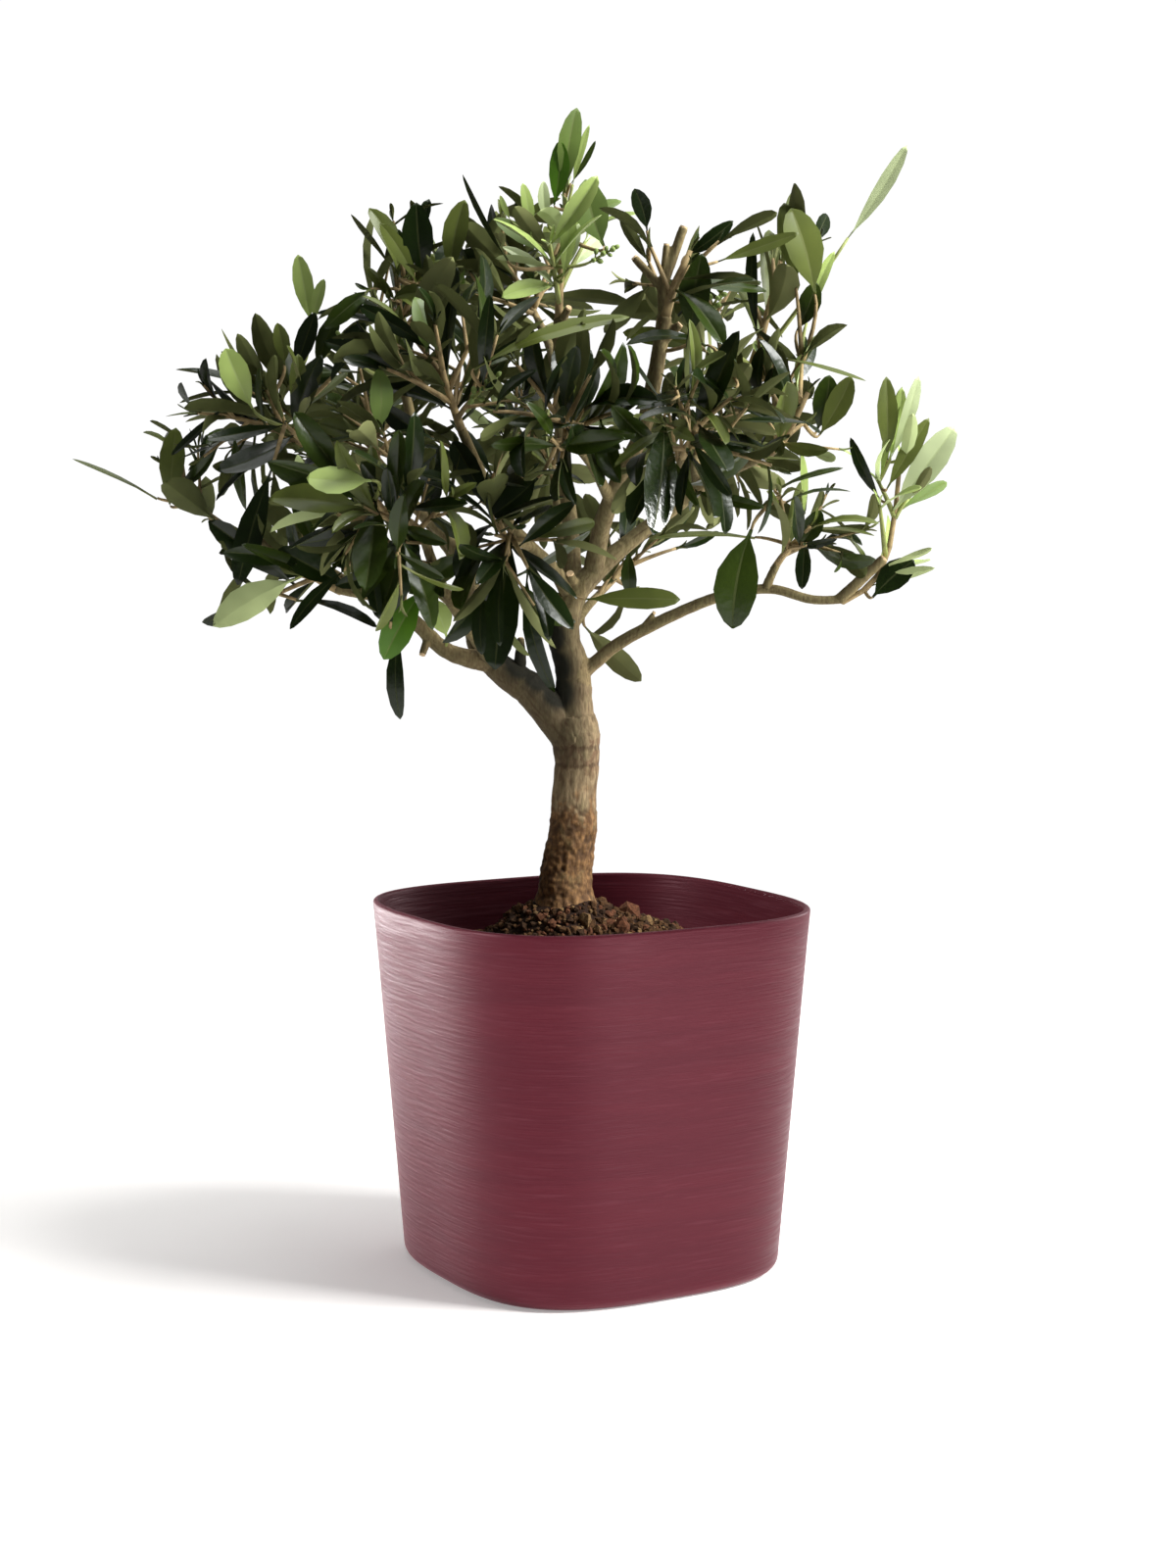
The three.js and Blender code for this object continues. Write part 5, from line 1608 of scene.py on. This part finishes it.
TINTS = ("dark", "mid", "olive", "fresh", "young", "pale", "bright", "waxy")
OLD_TINTS = ("dark", "mid", "waxy")
NEW_TINTS = ("young", "pale")
PALER_TINTS = ("olive", "fresh", "bright") + NEW_TINTS
WAXY_SPECULAR, LEAF_SPECULAR = 0.9, 0.28
RIB_TINT = (0.6, 0.4)  # shares of the upper side's and the underside's colour in the midrib's

# Shares of a blade's length, its half width there by two outlines, and its thickness
STATIONS = np.array((0, 0.1, 0.26, 0.46, 0.66, 0.84, 0.95, 1))
LANCE = np.array((0.08, 0.12, 0.62, 0.97, 0.98, 0.7, 0.35, 0.03))
SPOON = np.array((0.08, 0.1, 0.42, 0.78, 1, 0.93, 0.64, 0.08))
THICKNESS = np.array((1.2, 1.0, 0.65, 0.5, 0.45, 0.4, 0.25, 0.1))
# Places round a blade's section: five strips above, with the midrib as the third, and three below.
COLUMNS = np.array((-1, -0.5, -0.06, 0.06, 0.5, 1, 0.06, -0.06))
RISE = np.array((0.8, 0.5, 0, 0, 0.5, 0.8, 0, 0))
UPPER, RIB, UNDER = 0, 1, 2
STRIP_SIDES = np.array((UPPER, UPPER, RIB, UPPER, UPPER, UNDER, UNDER, UNDER))
SHARP_LINES = (0, 2, 3, 5)
BELOW = (6, 7)
# Ranges of what differs from leaf to leaf, over the blade's width or length
SPOONS = (0, 0.6)  # how much of the second outline
SLIMMER = (0.55, 1)
TWISTS = (-0.9, 0.9)  # radians
TWIST_BEGINS = 0.15
FOLDS = (0.15, 0.65)  # how far the margins rise
BOWS = (-0.02, 0.13)  # how far the middle rises
SWAYS = (-0.05, 0.05)  # how far the middle moves sideways
# How much of these a leaf that stands out has, and one of the waxy ones
LONE_SPOON, LONE_TWIST, LONE_FOLD = 0.6, 0.3, 0.35
WAXY_TWIST, WAXY_FOLD, WAXY_BOW = 0, 0.12, 0.03


class OBJECT_OT_bonsai_leaves(bpy.types.Operator):
    """Grow the leaves and join them into two meshes, coloured spray by spray"""

    bl_idname = "object.bonsai_leaves"
    bl_label = "Leaves"

    def execute(self, context):
        settings = context.scene.bonsai_leaf
        kinds = []
        for tint in TINTS:
            upper = getattr(settings, tint)[:]
            if tint in OLD_TINTS:
                # Undersides of old leaves, darkened with painted shade
                under = settings.under_old_shaded[:]
                shine = (settings.gloss, LEAF_SPECULAR)
                if tint == "waxy":
                    shine = (settings.wax, WAXY_SPECULAR)
                kinds.append(olive_leaf(f"{tint} olive leaf", upper, *shine))
            else:
                under = (settings.under_young if tint in NEW_TINTS else settings.under)[:]
                kinds.append(dull_skin(f"{tint} olive leaf", upper, settings.satin, LEAF_SPECULAR))
            rib = [RIB_TINT[0] * a + RIB_TINT[1] * b for a, b in zip(upper, under)]
            kinds += [dull_skin(f"{tint} olive leaf midrib", rib, 0.6, 0.2),
                      dull_skin(f"{tint} olive leaf underside", under, 0.8, 0.12)]
        for name, tints in (("old_leaves", OLD_TINTS), ("paler_leaves", PALER_TINTS)):
            mesh = leaf_mesh(name, [leaf for leaf in foliage().leaves if leaf.tint in tints])
            add_piece(name, mesh, kinds, FOLIAGE_NODES)
        return {"FINISHED"}


def leaf_mesh(name, leaves):
    """One mesh of all the leaves: blades folded along the midrib, bowed, twisted and closed below."""
    rng = np.random.default_rng(23)
    count, rings, sides = len(leaves), len(STATIONS), len(COLUMNS)

    def by_leaf(values):
        return np.array(values)[:, None, None, None]

    def varied(limits):
        return by_leaf(rng.uniform(*limits, count))

    def tamed(waxy_share, lone_share):
        return np.where(waxy, waxy_share, np.where(lone, lone_share, 1))

    root, axis, face = (np.array([getattr(leaf, part) for leaf in leaves])[:, None, None]
                        for part in ("root", "axis", "face"))
    length, width = (by_leaf([getattr(leaf, part) for leaf in leaves]) for part in ("length", "width"))
    lone = by_leaf([leaf.spray == LONE for leaf in leaves])
    waxy = by_leaf([leaf.tint == "waxy" for leaf in leaves])
    along, lance, spoon, thickness = (row[None, :, None, None]
                                      for row in (STATIONS, LANCE, SPOON, THICKNESS))
    wide, rise, below = (row[None, None, :, None]
                         for row in (COLUMNS, RISE, np.isin(np.arange(sides), BELOW)))
    spooned = varied(SPOONS) * np.where(lone, LONE_SPOON, 1)
    half = width / 2 * (lance * (1 - spooned) + spoon * spooned) * np.where(lone, 1, varied(SLIMMER))
    across = np.cross(axis, face)
    twist = varied(TWISTS) * (along - TWIST_BEGINS) * tamed(WAXY_TWIST, LONE_TWIST)
    side = across * np.cos(twist) + face * np.sin(twist)
    over = face * np.cos(twist) - across * np.sin(twist)
    lift = half * rise * varied(FOLDS) * tamed(WAXY_FOLD, LONE_FOLD) - below * thickness
    swell = hump(along) * length
    points = (root + axis * along * length + face * swell * np.where(waxy, WAXY_BOW, varied(BOWS))
              + across * swell * varied(SWAYS) + side * wide * half + over * lift)
    shape = tube_faces(rings, sides)
    mesh = mesh_of(name, to_pot(points.reshape(-1, 3)), joined(shape, count, rings * sides))
    strips = np.array([STRIP_SIDES[face[0] % sides] if len(face) == 4 else UNDER for face in shape])
    tints = np.array([TINTS.index(leaf.tint) for leaf in leaves])[:, None]
    kinds = 3 * tints + strips
    mesh.polygons.foreach_set("material_index", kinds.ravel().astype(np.int32))
    ends = np.empty(len(mesh.edges) * 2, np.int32)
    mesh.edges.foreach_get("vertices", ends)
    column = ends.reshape(-1, 2) % sides
    sharp = (column[:, 0] == column[:, 1]) & np.isin(column[:, 0], SHARP_LINES)
    mesh.attributes.new("sharp_edge", "BOOLEAN", "EDGE").data.foreach_set("value", sharp)
    return mesh


BUD_LONGER = 1.35  # length of a bud over its width


class OBJECT_OT_bonsai_buds(bpy.types.Operator):
    """Set the flower buds on their stalks and join them into one mesh"""

    bl_idname = "object.bonsai_buds"
    bl_label = "Flower buds"

    def execute(self, context):
        bm = bmesh.new()
        longer = Matrix.Diagonal((1, 1, BUD_LONGER, 1))
        for place, axis, size in foliage().buds:
            bmesh.ops.create_uvsphere(bm, u_segments=8, v_segments=6, radius=size * MM,
                                      matrix=standing(to_pot(place), TREE_TO_POT @ axis) @ longer)
        green = olive_leaf("olive flower bud", context.scene.bonsai_leaf.bud[:], 0.6, 0.3)
        add_piece("flower_buds", mesh_from("flower_buds", bm), [green], FOLIAGE_NODES)
        return {"FINISHED"}


class Light(NamedTuple):
    """A soft light, its places in metres in the tree's frame. The pot is lit apart from the tree."""

    name: str
    power: str  # the setting that holds it
    size: tuple
    place: tuple
    target: tuple
    pot: str = None  # whether it is for the pot alone, or keeps off it
    spread: float = 180


LIGHTS = (
    Light("key_light", "key", (0.8, 0.8), (1.42, -0.42, 1.25), (0, 0, 0.36), "EXCLUDE"),
    Light("top_light", "top", (1.4, 1.4), (0.2, 0.1, 1.9), (0, 0, 0.3)),
    Light("side_light", "side", (0.9, 0.2), (-0.82, 0.55, 0.1), (-0.05, 0, 0.09), "INCLUDE", 60),
    Light("pot_front_light", "front", (0.5, 0.16), (0.9, -1.1, 0.09), (0, -0.05, 0.09), "INCLUDE"),
    Light("pot_inner_light", "inner", (0.3, 0.3), (-0.75, -0.2, 0.5), (0.08, 0.03, 0.16), "INCLUDE"),
    Light("pot_far_light", "far", (0.3, 0.3), (0.75, 0.45, 0.45), (-0.08, -0.03, 0.16), "INCLUDE"),
)
FLOOR_RADIUS = 1.2
SENSOR_WIDTH = 36
BEHIND = (0, 1, 0)
BEHIND_EDGE = (0.6, 0.86)  # between which the light from behind fades in, as cosines off its middle


class OBJECT_OT_bonsai_stage(bpy.types.Operator):
    """Lay the floor, set the lights and stand the camera in front of the tree"""

    bl_idname = "object.bonsai_stage"
    bl_label = "Stage"

    def execute(self, context):
        stage = context.scene.bonsai_stage
        bm = bmesh.new()
        bmesh.ops.create_circle(bm, cap_ends=True, segments=96, radius=FLOOR_RADIUS)
        floor = bpy.data.objects.new("floor", mesh_from("floor", bm))
        floor.data.materials.append(paper_floor(stage))
        lights = [self.light(kind, getattr(stage, kind.power)) for kind in LIGHTS]
        camera = bpy.data.objects.new("camera", bpy.data.cameras.new("camera"))
        camera.data.lens = stage.lens
        camera.data.sensor_width = SENSOR_WIDTH
        camera.location = to_pot(EYE)
        camera.rotation_euler = (math.pi / 2 - EYE_TILT, 0, TREE_TURN)
        for thing in (floor, camera, *lights):
            context.scene.collection.objects.link(thing)
        context.scene.camera = camera
        context.scene.world = self.studio(stage)
        context.scene.view_settings.view_transform = "Standard"
        return {"FINISHED"}

    @staticmethod
    def studio(stage):
        """Faint light from all around, more from behind the tree, and plain white where it is seen."""
        world = bpy.data.worlds.new("studio")
        world.use_nodes = True
        tree = world.node_tree
        heading = add_node(tree, "ShaderNodeTexCoord").outputs["Generated"]
        behind = add_node(tree, "ShaderNodeVectorMath", {0: heading, 1: TREE_TO_POT @ np.array(BEHIND)},
                          operation="DOT_PRODUCT").outputs["Value"]
        seen = add_node(tree, "ShaderNodeLightPath").outputs["Is Camera Ray"]
        around = spread(tree, behind, *BEHIND_EDGE, stage.fill, stage.back)
        strength = spread(tree, seen, 0, 1, around, stage.backdrop)
        background = tree.nodes["Background"]
        tree.links.new(strength, background.inputs["Strength"])
        background.inputs["Color"].default_value = (1, 1, 1, 1)
        return world

    @staticmethod
    def light(kind, power):
        """One of the lights, turned to its target and linked to the pot or kept off it."""
        lamp = bpy.data.lights.new(kind.name, "AREA")
        lamp.energy = power
        lamp.shape = "RECTANGLE"
        lamp.size, lamp.size_y = kind.size
        lamp.spread = math.radians(kind.spread)
        made = bpy.data.objects.new(kind.name, lamp)
        made.visible_camera = False
        made.location = TREE_TO_POT @ np.array(kind.place)
        aim = Vector(TREE_TO_POT @ np.array(kind.target)) - made.location
        made.rotation_euler = aim.to_track_quat("-Z", "Y").to_euler()
        if kind.pot:
            group = bpy.data.collections.new(f"{kind.name}_receivers")
            group.objects.link(bpy.data.objects["planter"])
            group.collection_objects[0].light_linking.link_state = kind.pot
            made.light_linking.receiver_collection = group
            if kind.pot == "INCLUDE":
                made.light_linking.blocker_collection = group
        return made


PIECES = (OBJECT_OT_bonsai_pot, OBJECT_OT_bonsai_soil, OBJECT_OT_bonsai_bark, OBJECT_OT_bonsai_twigs,
          OBJECT_OT_bonsai_leaves, OBJECT_OT_bonsai_buds, OBJECT_OT_bonsai_stage)
SETTINGS = {"bonsai_pot": PotSettings, "bonsai_soil": SoilSettings, "bonsai_bark": BarkSettings,
            "bonsai_leaf": LeafSettings, "bonsai_stage": StageSettings}


class VIEW3D_PT_bonsai(bpy.types.Panel):
    """Lists the pieces of the bonsai and their settings"""

    bl_label = "Olive bonsai"
    bl_space_type = "VIEW_3D"
    bl_region_type = "UI"
    bl_category = "Bonsai"

    def draw(self, context):
        for piece in PIECES:
            self.layout.operator(piece.bl_idname)
        for name, group in SETTINGS.items():
            box = self.layout.box()
            for key in group.__annotations__:
                box.prop(getattr(context.scene, name), key)


def register():
    for group in SETTINGS.values():
        bpy.utils.register_class(group)
    for name, group in SETTINGS.items():
        setattr(bpy.types.Scene, name, bpy.props.PointerProperty(type=group))
    for piece in PIECES:
        bpy.utils.register_class(piece)
    bpy.utils.register_class(VIEW3D_PT_bonsai)


def unregister():
    bpy.utils.unregister_class(VIEW3D_PT_bonsai)
    for piece in reversed(PIECES):
        bpy.utils.unregister_class(piece)
    for name in SETTINGS:
        delattr(bpy.types.Scene, name)
    for group in SETTINGS.values():
        bpy.utils.unregister_class(group)


def main():
    register()
    bpy.ops.object.bonsai_pot()
    bpy.ops.object.bonsai_soil()
    bpy.ops.object.bonsai_bark()
    bpy.ops.object.bonsai_twigs()
    bpy.ops.object.bonsai_leaves()
    bpy.ops.object.bonsai_buds()
    bpy.ops.object.bonsai_stage()


if __name__ == "__main__":
    main()
